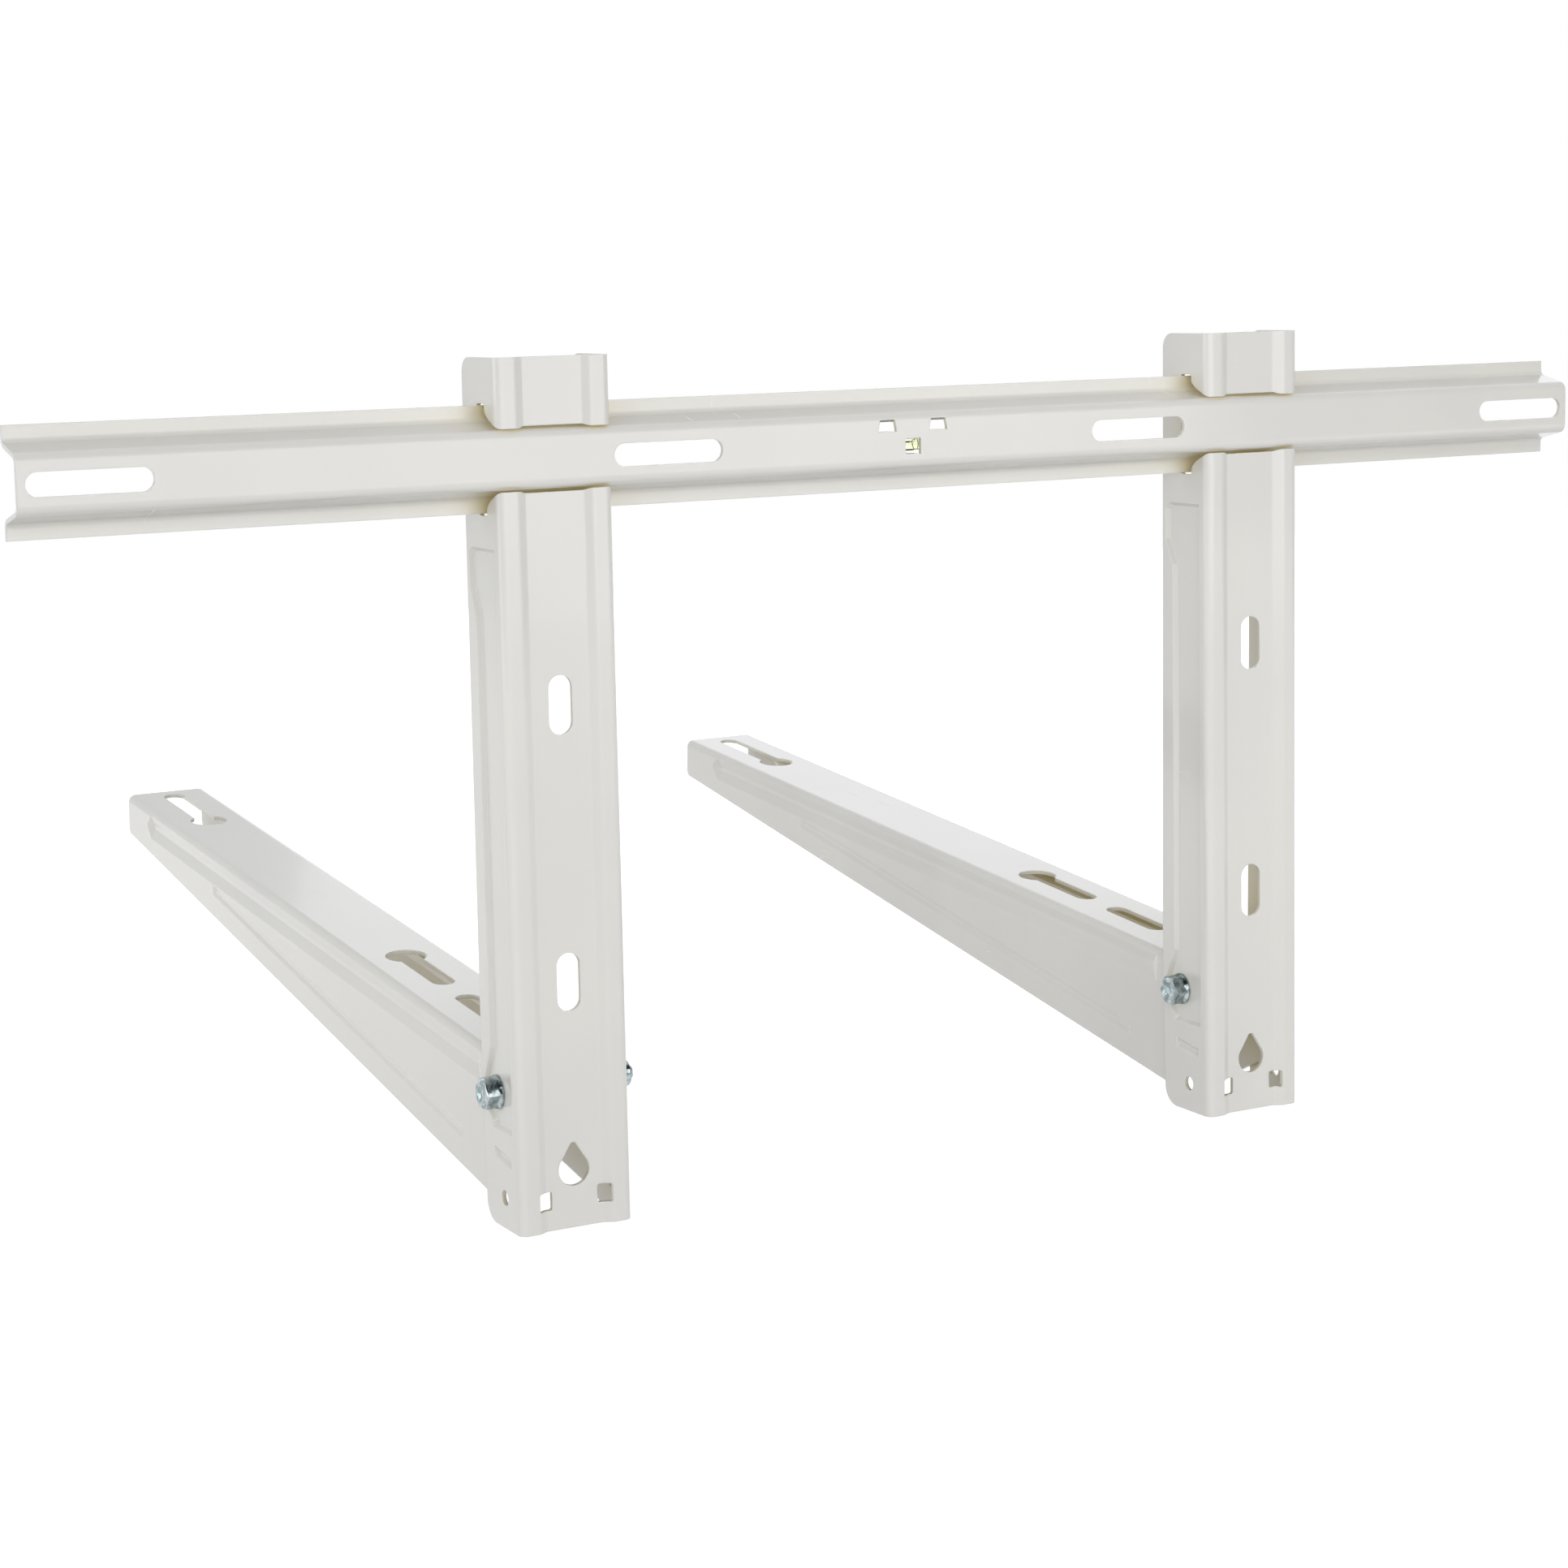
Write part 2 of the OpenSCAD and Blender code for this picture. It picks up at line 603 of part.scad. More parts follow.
module arm() {
    w = arm_width;
    c = arm_bend + arm_sheet;
    deep = root_height + 4;
    back = heel_foot + 4;
    color(steel_white) translate([0, -pivot_out, -pivot_drop]) rotate([-arm_rise, 0, 0])
    difference() {
        union() {
            intersection() {
                translate([0, back, 0]) rotate([90, 0, 0]) linear_extrude(arm_reach + back + 2)
                    translate([-w / 2, arm_above - deep]) rotate(90)
                        fold_path([[deep - c, 90, arm_bend], [w - 2 * c, 90, arm_bend],
                            [deep - c, 0, 0]], arm_sheet);
                along_x(w + 2 * clear) arm_side();
            }
            arm_pressings(w / 2 - arm_sheet + bite, bite, 0.001);
        }
        arm_pressings(w / 2, 0, clear);
        along_x(2 * (half - corner - ridge_width) + clear) top_end_side();
        translate([0, 0, arm_above - arm_sheet - clear]) linear_extrude(arm_sheet + 2 * clear) {
            keyhole(outer_key, outer_key_end);
            keyhole(inner_key, inner_key_end);
            translate([0, -root_slot_end + root_slot_length / 2]) rotate(90)
                slot_x(root_slot_length, arm_slot);
        }
        rotate([0, 90, 0]) cylinder(r = bolt_size / 2 + pivot_fit, h = w + 2 * clear,
            center = true, $fn = round_n);
    }
}

module left_arm() { at_left() arm(); }
module right_arm() { at_right() arm(); }

module at_pivot() { translate([0, -pivot_out, -pivot_drop]) rotate([0, 90, 0]) children(); }

// A hexagon of the given width across its flats, with the corners turned round.
module hex_prism(height, top) {
    r = hex_size / 2 / cos(30);
    intersection() {
        rotate(30) cylinder(r = r, h = height, $fn = 6);
        cylinder(r1 = r + 0.01 + (height - top) * 1.6, r2 = hex_size / 2 + 0.1, h = height,
            $fn = round_n);
    }
}

// The flange under the head or the nut, with its sloping top.
module flange() {
    cylinder(d = flange_size, h = flange_rim, $fn = round_n);
    translate([0, 0, flange_rim]) cylinder(d1 = flange_size, d2 = hex_size + 0.4,
        h = flange_cone, $fn = round_n);
}

module pivot_bolt() {
    r = bolt_size / 2;
    dish = hex_size / 2;
    color(zinc) at_pivot() difference() {
        union() {
            translate([0, 0, panel_face]) {
                flange();
                hex_prism(head_height, head_height - 1);
            }
            translate([0, 0, panel_face - bolt_length + 1])
                cylinder(r = r, h = bolt_length - 1, $fn = round_n);
            translate([0, 0, panel_face - bolt_length])
                cylinder(r1 = r - 1, r2 = r, h = 1, $fn = round_n);
        }
        translate([0, 0, panel_face + head_height - 1])
            cylinder(d1 = dish, d2 = dish + 2.6, h = 1.01, $fn = round_n);
    }
}

module pivot_nut() {
    r = bolt_size / 2;
    hex = nut_height - collar;
    top = 0.8;
    color(zinc) at_pivot() mirror([0, 0, 1]) translate([0, 0, panel_face]) difference() {
        union() {
            flange();
            hex_prism(hex, hex - top);
            cylinder(d = collar_width, h = nut_height - top, $fn = round_n);
            translate([0, 0, nut_height - top]) cylinder(d1 = collar_width,
                d2 = collar_width - 1.4, h = top, $fn = round_n);
        }
        translate([0, 0, -clear]) cylinder(r = r, h = nut_height + 2 * clear, $fn = round_n);
        translate([0, 0, hex]) cylinder(r = r + ring_wall, h = ring_height + 0.2, $fn = round_n);
        translate([0, 0, nut_height - 1]) cylinder(r = r + ring_wall / 2, h = 2, $fn = round_n);
    }
}

module nut_lock_ring() {
    r = bolt_size / 2;
    color([0.20, 0.38, 0.70]) at_pivot() mirror([0, 0, 1])
        translate([0, 0, panel_face + nut_height - collar]) difference() {
            cylinder(r = r + ring_wall, h = ring_height, $fn = round_n);
            translate([0, 0, -clear]) cylinder(r = r, h = ring_height + 2 * clear, $fn = round_n);
        }
}

module left_pivot_bolt() { at_left() pivot_bolt(); }
module right_pivot_bolt() { at_right() pivot_bolt(); }
module left_pivot_nut() { at_left() pivot_nut(); }
module right_pivot_nut() { at_right() pivot_nut(); }
module left_nut_lock_ring() { at_left() nut_lock_ring(); }
module right_nut_lock_ring() { at_right() nut_lock_ring(); }

crossbar_rail();
level_vial_block();
level_vial_fluid();
level_vial_plug();
left_upright();
right_upright();
left_arm();
right_arm();
left_pivot_bolt();
right_pivot_bolt();
left_pivot_nut();
right_pivot_nut();
left_nut_lock_ring();
right_nut_lock_ring();
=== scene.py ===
"""Studio scene of a wall bracket that carries the outdoor unit of an air conditioner.

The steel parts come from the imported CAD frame. This file gives them their finishes, adds the
small turned and printed details, and sets the camera, the lamps and the floor.
Every length is in metres. The wall is the plane y = 0 and the arms reach out towards -Y.
"""

import json
import logging
import math
from dataclasses import dataclass, field
from enum import Enum
from typing import Any

import bpy
import numpy as np
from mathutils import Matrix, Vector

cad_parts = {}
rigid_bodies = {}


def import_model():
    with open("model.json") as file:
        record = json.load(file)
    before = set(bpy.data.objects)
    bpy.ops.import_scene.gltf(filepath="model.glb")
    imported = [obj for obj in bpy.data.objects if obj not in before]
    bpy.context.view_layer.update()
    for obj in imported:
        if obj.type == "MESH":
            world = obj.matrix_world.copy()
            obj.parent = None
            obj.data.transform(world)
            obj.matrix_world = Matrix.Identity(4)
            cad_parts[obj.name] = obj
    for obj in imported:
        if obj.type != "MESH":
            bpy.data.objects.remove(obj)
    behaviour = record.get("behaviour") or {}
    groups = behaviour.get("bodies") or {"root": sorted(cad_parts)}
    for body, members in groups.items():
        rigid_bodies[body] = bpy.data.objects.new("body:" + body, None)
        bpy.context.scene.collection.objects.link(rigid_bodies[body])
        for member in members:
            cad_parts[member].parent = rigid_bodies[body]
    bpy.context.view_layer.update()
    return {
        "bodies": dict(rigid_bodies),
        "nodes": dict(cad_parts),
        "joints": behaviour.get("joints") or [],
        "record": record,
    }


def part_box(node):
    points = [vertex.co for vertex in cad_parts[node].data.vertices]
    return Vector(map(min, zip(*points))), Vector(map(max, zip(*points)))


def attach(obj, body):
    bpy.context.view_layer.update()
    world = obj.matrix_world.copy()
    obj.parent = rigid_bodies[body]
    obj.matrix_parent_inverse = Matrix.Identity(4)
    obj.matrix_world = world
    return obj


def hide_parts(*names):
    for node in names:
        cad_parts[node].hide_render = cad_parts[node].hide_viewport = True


log = logging.getLogger("bracket")

MM = 0.001
WHITE = (1.0, 1.0, 1.0, 1.0)
SHARP_ANGLE = math.radians(35.0)


def linear(red: float, green: float, blue: float) -> tuple[float, float, float, float]:
    """Turns a screen colour into the linear colour that a shader takes.

    Args:
        red: Red from 0 to 255.
        green: Green from 0 to 255.
        blue: Blue from 0 to 255.

    Returns:
        Linear red, green and blue, with an alpha of 1.
    """
    c = np.array([red, green, blue], float) / 255.0
    low = c / 12.92
    high = ((c + 0.055) / 1.055) ** 2.4
    r, g, b = np.where(c <= 0.04045, low, high)
    return float(r), float(g), float(b), 1.0


class Side(Enum):
    """The two uprights, named as someone who faces the bracket from the room sees them."""

    RIGHT = "right"
    LEFT = "left"


class Wiring:
    """A node tree with short ways to add nodes and links."""

    def __init__(self, tree: Any) -> None:
        """Keeps the tree that the nodes go into.

        Args:
            tree: A shader node tree of a material, a world or a group.
        """
        self.tree = tree

    def node(self, kind: str, label: str = "", **settings: Any) -> Any:
        """Adds a node and sets its own properties.

        Args:
            kind: The node's type name.
            label: A plain label for the node.
            **settings: Properties of the node, by name.

        Returns:
            The new node.
        """
        made = self.tree.nodes.new(kind)
        made.label = label
        for name, value in settings.items():
            setattr(made, name, value)
        return made

    def feed(self, socket: Any, value: Any) -> None:
        """Links an output to a socket, or writes a constant into it.

        Args:
            socket: The input socket.
            value: An output socket, or a number, colour or vector.
        """
        if isinstance(value, bpy.types.NodeSocket):
            self.tree.links.new(value, socket)
        else:
            socket.default_value = value

    def math(self, operation: str, first: Any, second: Any = 0.0, third: Any = 0.0,
             clamp: bool = False) -> Any:
        """Adds a Math node.

        Args:
            operation: The node's operation, such as MULTIPLY.
            first: The first value or output.
            second: The second value or output.
            third: The third value or output, where the operation takes one.
            clamp: Whether the result is held between 0 and 1.

        Returns:
            The node's output.
        """
        made = self.node("ShaderNodeMath", operation=operation, use_clamp=clamp)
        for socket, value in zip(made.inputs, (first, second, third)):
            self.feed(socket, value)
        return made.outputs[0]

    def split(self, vector: Any) -> Any:
        """Splits a vector into its x, y and z.

        Args:
            vector: The vector output.

        Returns:
            The three outputs.
        """
        made = self.node("ShaderNodeSeparateXYZ")
        self.feed(made.inputs[0], vector)
        return made.outputs

    def hypot(self, first: Any, second: Any) -> Any:
        """Works out the square root of the sum of two squares.

        Args:
            first: The first output.
            second: The second output.

        Returns:
            The distance output.
        """
        squares = [self.math("POWER", value, 2.0) for value in (first, second)]
        return self.math("SQRT", self.math("ADD", *squares))

    def ramp(self, value: Any, low: float, high: float, to_low: float = 0.0,
             to_high: float = 1.0) -> Any:
        """Maps a value smoothly from one range to another, clamped.

        Args:
            value: The output to map.
            low: Start of the range that comes in.
            high: End of the range that comes in.
            to_low: What the start becomes.
            to_high: What the end becomes.

        Returns:
            The mapped output.
        """
        made = self.node("ShaderNodeMapRange", interpolation_type="SMOOTHSTEP")
        for socket, number in zip(made.inputs, (value, low, high, to_low, to_high)):
            self.feed(socket, number)
        return made.outputs[0]

    def blend(self, share: Any, first: Any, second: Any) -> Any:
        """Mixes two colours.

        Args:
            share: How much of the second colour there is.
            first: The first colour or output.
            second: The second colour or output.

        Returns:
            The mixed colour output.
        """
        made = self.node("ShaderNodeMix", data_type="RGBA")
        self.feed(made.inputs[0], share)
        self.feed(made.inputs[6], first)
        self.feed(made.inputs[7], second)
        return made.outputs[2]

    def noise(self, place: Any, size: float, detail: float = 2.0, rough: float = 0.5) -> Any:
        """Adds a noise texture whose blotches have about the given size.

        Args:
            place: The coordinates.
            size: The size of one blotch in metres.
            detail: How many finer layers there are.
            rough: How strong the finer layers are.

        Returns:
            The noise value, from 0 to 1.
        """
        made = self.node("ShaderNodeTexNoise")
        self.feed(made.inputs["Vector"], place)
        made.inputs["Scale"].default_value = 1.0 / size
        made.inputs["Detail"].default_value = detail
        made.inputs["Roughness"].default_value = rough
        return made.outputs["Fac"]


class Effect(Enum):
    """The surface effects that several finishes share, each a node group."""

    COAT_SKIN = "coat_skin"
    CUT_EDGE = "cut_edge"
    SETTLED_DUST = "settled_dust"
    HANDLING = "handling_marks"
    TURNING = "turning_rings"


class EffectShelf:
    """Builds each shared effect once as a node group, and places it in materials."""

    def __init__(self) -> None:
        """Builds every group."""
        self.groups = {
            Effect.COAT_SKIN: self._coat_skin(),
            Effect.CUT_EDGE: self._edge_round_and_highlight(),
            Effect.SETTLED_DUST: self._painted_recess_shade(),
            Effect.HANDLING: self._handling_marks(),
            Effect.TURNING: self._turning_rings(),
        }

    @staticmethod
    def _start(effect: Effect, inputs: dict[str, tuple[str, Any]],
               outputs: dict[str, str]) -> tuple[Wiring, Any, Any, Any]:
        """Starts a node group with named sockets.

        Args:
            effect: Which effect the group is.
            inputs: Socket type and start value of each input, by name.
            outputs: Socket type of each output, by name.

        Returns:
            The wiring, the group input node, the group output node and the group.
        """
        group = bpy.data.node_groups.new(effect.value, "ShaderNodeTree")
        for name, (kind, value) in inputs.items():
            socket = group.interface.new_socket(name=name, in_out="INPUT", socket_type=kind)
            if value is not None:
                socket.default_value = value
        for name, kind in outputs.items():
            group.interface.new_socket(name=name, in_out="OUTPUT", socket_type=kind)
        wires = Wiring(group)
        return wires, wires.node("NodeGroupInput"), wires.node("NodeGroupOutput"), group

    def _coat_skin(self) -> Any:
        """The orange peel of baked powder: low round swells with a finer grain on them.

        Height = 0.75 * swells + 0.25 * grain, and the grain is 3.1 times as fine.
        Tone = slow drift of the coat's thickness over a hand's width.

        Returns:
            The node group.
        """
        wires, given, result, group = self._start(
            Effect.COAT_SKIN,
            {"Place": ("NodeSocketVector", None), "Swells per metre": ("NodeSocketFloat", 420.0)},
            {"Height": "NodeSocketFloat", "Tone": "NodeSocketFloat"},
        )
        swell = wires.node("ShaderNodeTexNoise", "swells")
        wires.feed(swell.inputs["Vector"], given.outputs[0])
        wires.feed(swell.inputs["Scale"], given.outputs[1])
        swell.inputs["Detail"].default_value = 1.0
        grain = wires.node("ShaderNodeTexNoise", "grain")
        wires.feed(grain.inputs["Vector"], given.outputs[0])
        wires.feed(grain.inputs["Scale"], wires.math("MULTIPLY", given.outputs[1], 3.1))
        grain.inputs["Detail"].default_value = 1.0
        height = wires.math("MULTIPLY_ADD", grain.outputs["Fac"], 0.25,
                            wires.math("MULTIPLY", swell.outputs["Fac"], 0.75))
        drift = wires.noise(given.outputs[0], 0.09, 2.0)
        wires.feed(result.inputs["Height"], height)
        wires.feed(result.inputs["Tone"], wires.ramp(drift, 0.32, 0.68))
        return group

    def _edge_round_and_highlight(self) -> Any:
        """Sheared and pressed edges that the coat has rounded, and a mask that paints a highlight
        along them.

        Mask = Sharpness * (1 - the dot product of the rounded normal and the flat one).

        Returns:
            The node group.
        """
        wires, given, result, group = self._start(
            Effect.CUT_EDGE,
            {"Radius": ("NodeSocketFloat", 0.0006), "Sharpness": ("NodeSocketFloat", 3.0)},
            {"Normal": "NodeSocketVector", "Mask": "NodeSocketFloat"},
        )
        rounded = wires.node("ShaderNodeBevel", "rounded edge", samples=4)
        wires.feed(rounded.inputs["Radius"], given.outputs[0])
        flat = wires.node("ShaderNodeNewGeometry")
        lean = wires.node("ShaderNodeVectorMath", "lean", operation="DOT_PRODUCT")
        wires.feed(lean.inputs[0], rounded.outputs[0])
        wires.feed(lean.inputs[1], flat.outputs["Normal"])
        away = wires.math("SUBTRACT", 1.0, lean.outputs["Value"])
        wires.feed(result.inputs["Normal"], rounded.outputs[0])
        wires.feed(result.inputs["Mask"],
                   wires.math("MULTIPLY", away, given.outputs[1], clamp=True))
        return group

    def _painted_recess_shade(self) -> Any:
        """Painted shade in hollows, where surfaces face each other.

        Mask = how closed the place is within Reach, broken up by a soft noise, times Depth.

        Returns:
            The node group.
        """
        wires, given, result, group = self._start(
            Effect.SETTLED_DUST,
            {"Place": ("NodeSocketVector", None), "Depth": ("NodeSocketFloat", 0.6),
             "Reach": ("NodeSocketFloat", 0.03)},
            {"Mask": "NodeSocketFloat"},
        )
        openness = wires.node("ShaderNodeAmbientOcclusion", "openness", samples=6)
        wires.feed(openness.inputs["Distance"], given.outputs[2])
        # painted shade: how closed the place is, read from ambient occlusion, stands in for the
        # shade that falls there
        closed = wires.ramp(openness.outputs["AO"], 0.15, 0.7, 1.0, 0.0)
        patches = wires.ramp(wires.noise(given.outputs[0], 0.012, 3.0, 0.6), 0.3, 0.7, 0.75, 1.0)
        mask = wires.math("MULTIPLY", wires.math("MULTIPLY", closed, patches), given.outputs[1],
                          clamp=True)
        wires.feed(result.inputs["Mask"], mask)
        return group

    def _handling_marks(self) -> Any:
        """Faint rubs from packing and handling: thin streaks along one slanted direction.

        Mask = the peaks of a noise fifteen times as fine along one axis as along the next,
        kept only where a second, broader noise is high, times Amount.

        Returns:
            The node group.
        """
        wires, given, result, group = self._start(
            Effect.HANDLING,
            {"Place": ("NodeSocketVector", None), "Amount": ("NodeSocketFloat", 0.5)},
            {"Mask": "NodeSocketFloat"},
        )
        stretch = wires.node("ShaderNodeMapping", "stretch")
        wires.feed(stretch.inputs["Vector"], given.outputs[0])
        stretch.inputs["Rotation"].default_value = (0.5, 0.35, 0.2)
        stretch.inputs["Scale"].default_value = (15.0, 1.0, 4.0)
        rub = wires.noise(stretch.outputs[0], 0.05, 4.0, 0.55)
        where = wires.ramp(wires.noise(given.outputs[0], 0.06, 1.0), 0.45, 0.7)
        peaks = wires.math("MULTIPLY", wires.ramp(rub, 0.56, 0.7), where)
        wires.feed(result.inputs["Mask"], wires.math("MULTIPLY", peaks, given.outputs[1]))
        return group

    def _turning_rings(self) -> Any:
        """Fine rings about an axis along X, as rolling and facing leave on a bolt.

        Height = sin(rate * (distance from the axis + 0.35 x) + 4 * noise), so the rings run on
        as a screw along the sides. Tone = the noise by itself.

        Returns:
            The node group.
        """
        wires, given, result, group = self._start(
            Effect.TURNING,
            {"Place": ("NodeSocketVector", None), "Rings per metre": ("NodeSocketFloat", 3500.0)},
            {"Height": "NodeSocketFloat", "Tone": "NodeSocketFloat"},
        )
        x, y, z = wires.split(given.outputs[0])
        distance = wires.math("ADD", wires.hypot(y, z), wires.math("MULTIPLY", x, 0.35))
        wobble = wires.noise(given.outputs[0], 0.003, 2.0)
        phase = wires.math("MULTIPLY_ADD", distance, given.outputs[1],
                           wires.math("MULTIPLY", wobble, 4.0))
        wires.feed(result.inputs["Height"], wires.math("SINE", phase))
        wires.feed(result.inputs["Tone"], wires.ramp(wobble, 0.3, 0.7))
        return group

    def place(self, wires: Wiring, effect: Effect, **values: Any) -> Any:
        """Places an effect's group in a material.

        Args:
            wires: The material's wiring.
            effect: Which effect.
            **values: Numbers or outputs for its inputs, with underscores for spaces.

        Returns:
            The group node.
        """
        made = wires.node("ShaderNodeGroup", effect.value.replace("_", " "))
        made.node_tree = self.groups[effect]
        for name, value in values.items():
            wires.feed(made.inputs[name.replace("_", " ")], value)
        return made


class Finish:
    """What every finish can do: start a material and put it on objects."""

    name = "finish"

    def _begin(self) -> tuple[Any, Wiring, Any, Any]:
        """Starts a material with a Principled shader and object coordinates.

        Returns:
            The material, its wiring, the shader and the coordinate output.
        """
        material = bpy.data.materials.new(self.name)
        material.use_nodes = True
        material.node_tree.nodes.clear()
        wires = Wiring(material.node_tree)
        shader = wires.node("ShaderNodeBsdfPrincipled", self.name.replace("_", " "))
        out = wires.node("ShaderNodeOutputMaterial")
        wires.feed(out.inputs["Surface"], shader.outputs[0])
        place = wires.node("ShaderNodeTexCoord").outputs["Object"]
        return material, wires, shader, place

    @staticmethod
    def _relief(wires: Wiring, shader: Any, height: Any, normal: Any, strength: float,
                depth: float) -> None:
        """Raises a surface a little by a height, on top of its rounded edges.

        Args:
            wires: The material's wiring.
            shader: The material's shader.
            height: The height output.
            normal: The normal output that the relief goes on.
            strength: How much of the relief shows.
            depth: Its depth in metres.
        """
        bump = wires.node("ShaderNodeBump")
        wires.feed(bump.inputs["Strength"], strength)
        wires.feed(bump.inputs["Distance"], depth)
        wires.feed(bump.inputs["Height"], height)
        wires.feed(bump.inputs["Normal"], normal)
        wires.feed(shader.inputs["Normal"], bump.outputs[0])

    def build(self, shelf: EffectShelf) -> Any:
        """Makes the material.

        Args:
            shelf: The shared effects.

        Returns:
            The material.
        """
        raise NotImplementedError


@dataclass(frozen=True)
class PowderCoat(Finish):
    """Semi-gloss ivory powder, baked on steel sheet. Its deep colour is painted shade in closed
    hollows.
    """

    name: str = "ivory_powder_coat"
    colour: tuple = field(default_factory=lambda: linear(231, 230, 225))
    thin_colour: tuple = field(default_factory=lambda: linear(228, 227, 223))
    # painted shade: the olive-yellow colour that closed hollows are tinted towards
    recess_shade_colour: tuple = field(default_factory=lambda: linear(230, 209, 118))
    # painted highlight: the near-white colour of rounded edges
    edge_highlight_colour: tuple = field(default_factory=lambda: linear(250, 250, 248))
    roughness: float = 0.22
    rub_roughness: float = 0.12
    recess_roughness: float = 0.15
    recess_shade_depth: float = 0.7
    recess_shade_reach: float = 0.07
    swells_per_metre: float = 430.0
    swell: float = 0.04 * MM
    swell_strength: float = 0.55
    edge_radius: float = 0.9 * MM
    edge_sharpness: float = 8.0
    coat_weight: float = 0.45
    coat_roughness: float = 0.08

    def build(self, shelf: EffectShelf) -> Any:
        """Coat colour with a slow drift, painted shade in hollows and a painted highlight on
        rounded edges.

        Args:
            shelf: The shared effects.

        Returns:
            The material.
        """
        material, wires, shader, place = self._begin()
        skin = shelf.place(wires, Effect.COAT_SKIN, Place=place,
                           Swells_per_metre=self.swells_per_metre)
        edge = shelf.place(wires, Effect.CUT_EDGE, Radius=self.edge_radius,
                           Sharpness=self.edge_sharpness)
        recess_shade = shelf.place(wires, Effect.SETTLED_DUST, Place=place, Depth=self.recess_shade_depth,
                           Reach=self.recess_shade_reach)
        rubs = shelf.place(wires, Effect.HANDLING, Place=place, Amount=0.5)
        body = wires.blend(skin.outputs["Tone"], self.colour, self.thin_colour)
        # painted shade: the coat is tinted towards the deep colour where the place is closed in
        recess_shaded = wires.blend(recess_shade.outputs["Mask"], body, self.recess_shade_colour)
        # painted highlight: rounded edges are lightened towards a near-white edge colour
        wires.feed(shader.inputs["Base Color"],
                   wires.blend(edge.outputs["Mask"], recess_shaded, self.edge_highlight_colour))
        rough = wires.math("MULTIPLY_ADD", rubs.outputs["Mask"], self.rub_roughness,
                           self.roughness)
        wires.feed(shader.inputs["Roughness"],
                   wires.math("MULTIPLY_ADD", recess_shade.outputs["Mask"], self.recess_roughness, rough))
        self._relief(wires, shader, skin.outputs["Height"], edge.outputs["Normal"],
                     self.swell_strength, self.swell)
        shader.inputs["Coat Weight"].default_value = self.coat_weight
        shader.inputs["Coat Roughness"].default_value = self.coat_roughness
        return material


@dataclass(frozen=True)
class ZincPlate(Finish):
    """Clear passivated zinc on the pivot bolts and nuts."""

    name: str = "bright_zinc_plate"
    colour: tuple = field(default_factory=lambda: linear(182, 192, 194))
    # the dull colour serves random dull patches and also painted shade in hollows
    dull_and_shade_colour: tuple = field(default_factory=lambda: linear(118, 134, 137))
    # painted highlight: the near-white colour of corners and rims
    edge_highlight_colour: tuple = field(default_factory=lambda: linear(240, 245, 247))
    roughness: float = 0.08
    patch_roughness: float = 0.08
    rings_per_metre: float = 9000.0
    ring_depth: float = 0.01 * MM
    ring_strength: float = 0.35
    edge_radius: float = 0.35 * MM
    edge_sharpness: float = 3.0
    recess_shade_depth: float = 0.5
    recess_shade_reach: float = 6.0 * MM
    centre: tuple[float, float, float] = (0.0, -0.0254, -0.2793)

    def build(self, shelf: EffectShelf) -> Any:
        """Metal with turning rings about the pivot, dull patches and bright corners.

        Args:
            shelf: The shared effects.

        Returns:
            The material.
        """
        material, wires, shader, place = self._begin()
        centred = wires.node("ShaderNodeMapping", "centred on the pivot")
        wires.feed(centred.inputs["Vector"], place)
        centred.inputs["Location"].default_value = tuple(-c for c in self.centre)
        rings = shelf.place(wires, Effect.TURNING, Place=centred.outputs[0],
                            Rings_per_metre=self.rings_per_metre)
        edge = shelf.place(wires, Effect.CUT_EDGE, Radius=self.edge_radius,
                           Sharpness=self.edge_sharpness)
        recess_shade = shelf.place(wires, Effect.SETTLED_DUST, Place=place, Depth=self.recess_shade_depth,
                           Reach=self.recess_shade_reach)
        body = wires.blend(rings.outputs["Tone"], self.colour, self.dull_and_shade_colour)
        # painted shade: hollows are darkened towards the dull colour where the place is closed in
        recess_shaded = wires.blend(recess_shade.outputs["Mask"], body, self.dull_and_shade_colour)
        # painted highlight: corners are lightened towards the edge colour
        wires.feed(shader.inputs["Base Color"],
                   wires.blend(edge.outputs["Mask"], recess_shaded, self.edge_highlight_colour))
        shader.inputs["Metallic"].default_value = 1.0
        wires.feed(shader.inputs["Roughness"],
                   wires.math("MULTIPLY_ADD", rings.outputs["Tone"], self.patch_roughness,
                              self.roughness))
        self._relief(wires, shader, rings.outputs["Height"], edge.outputs["Normal"],
                     self.ring_strength, self.ring_depth)
        return material


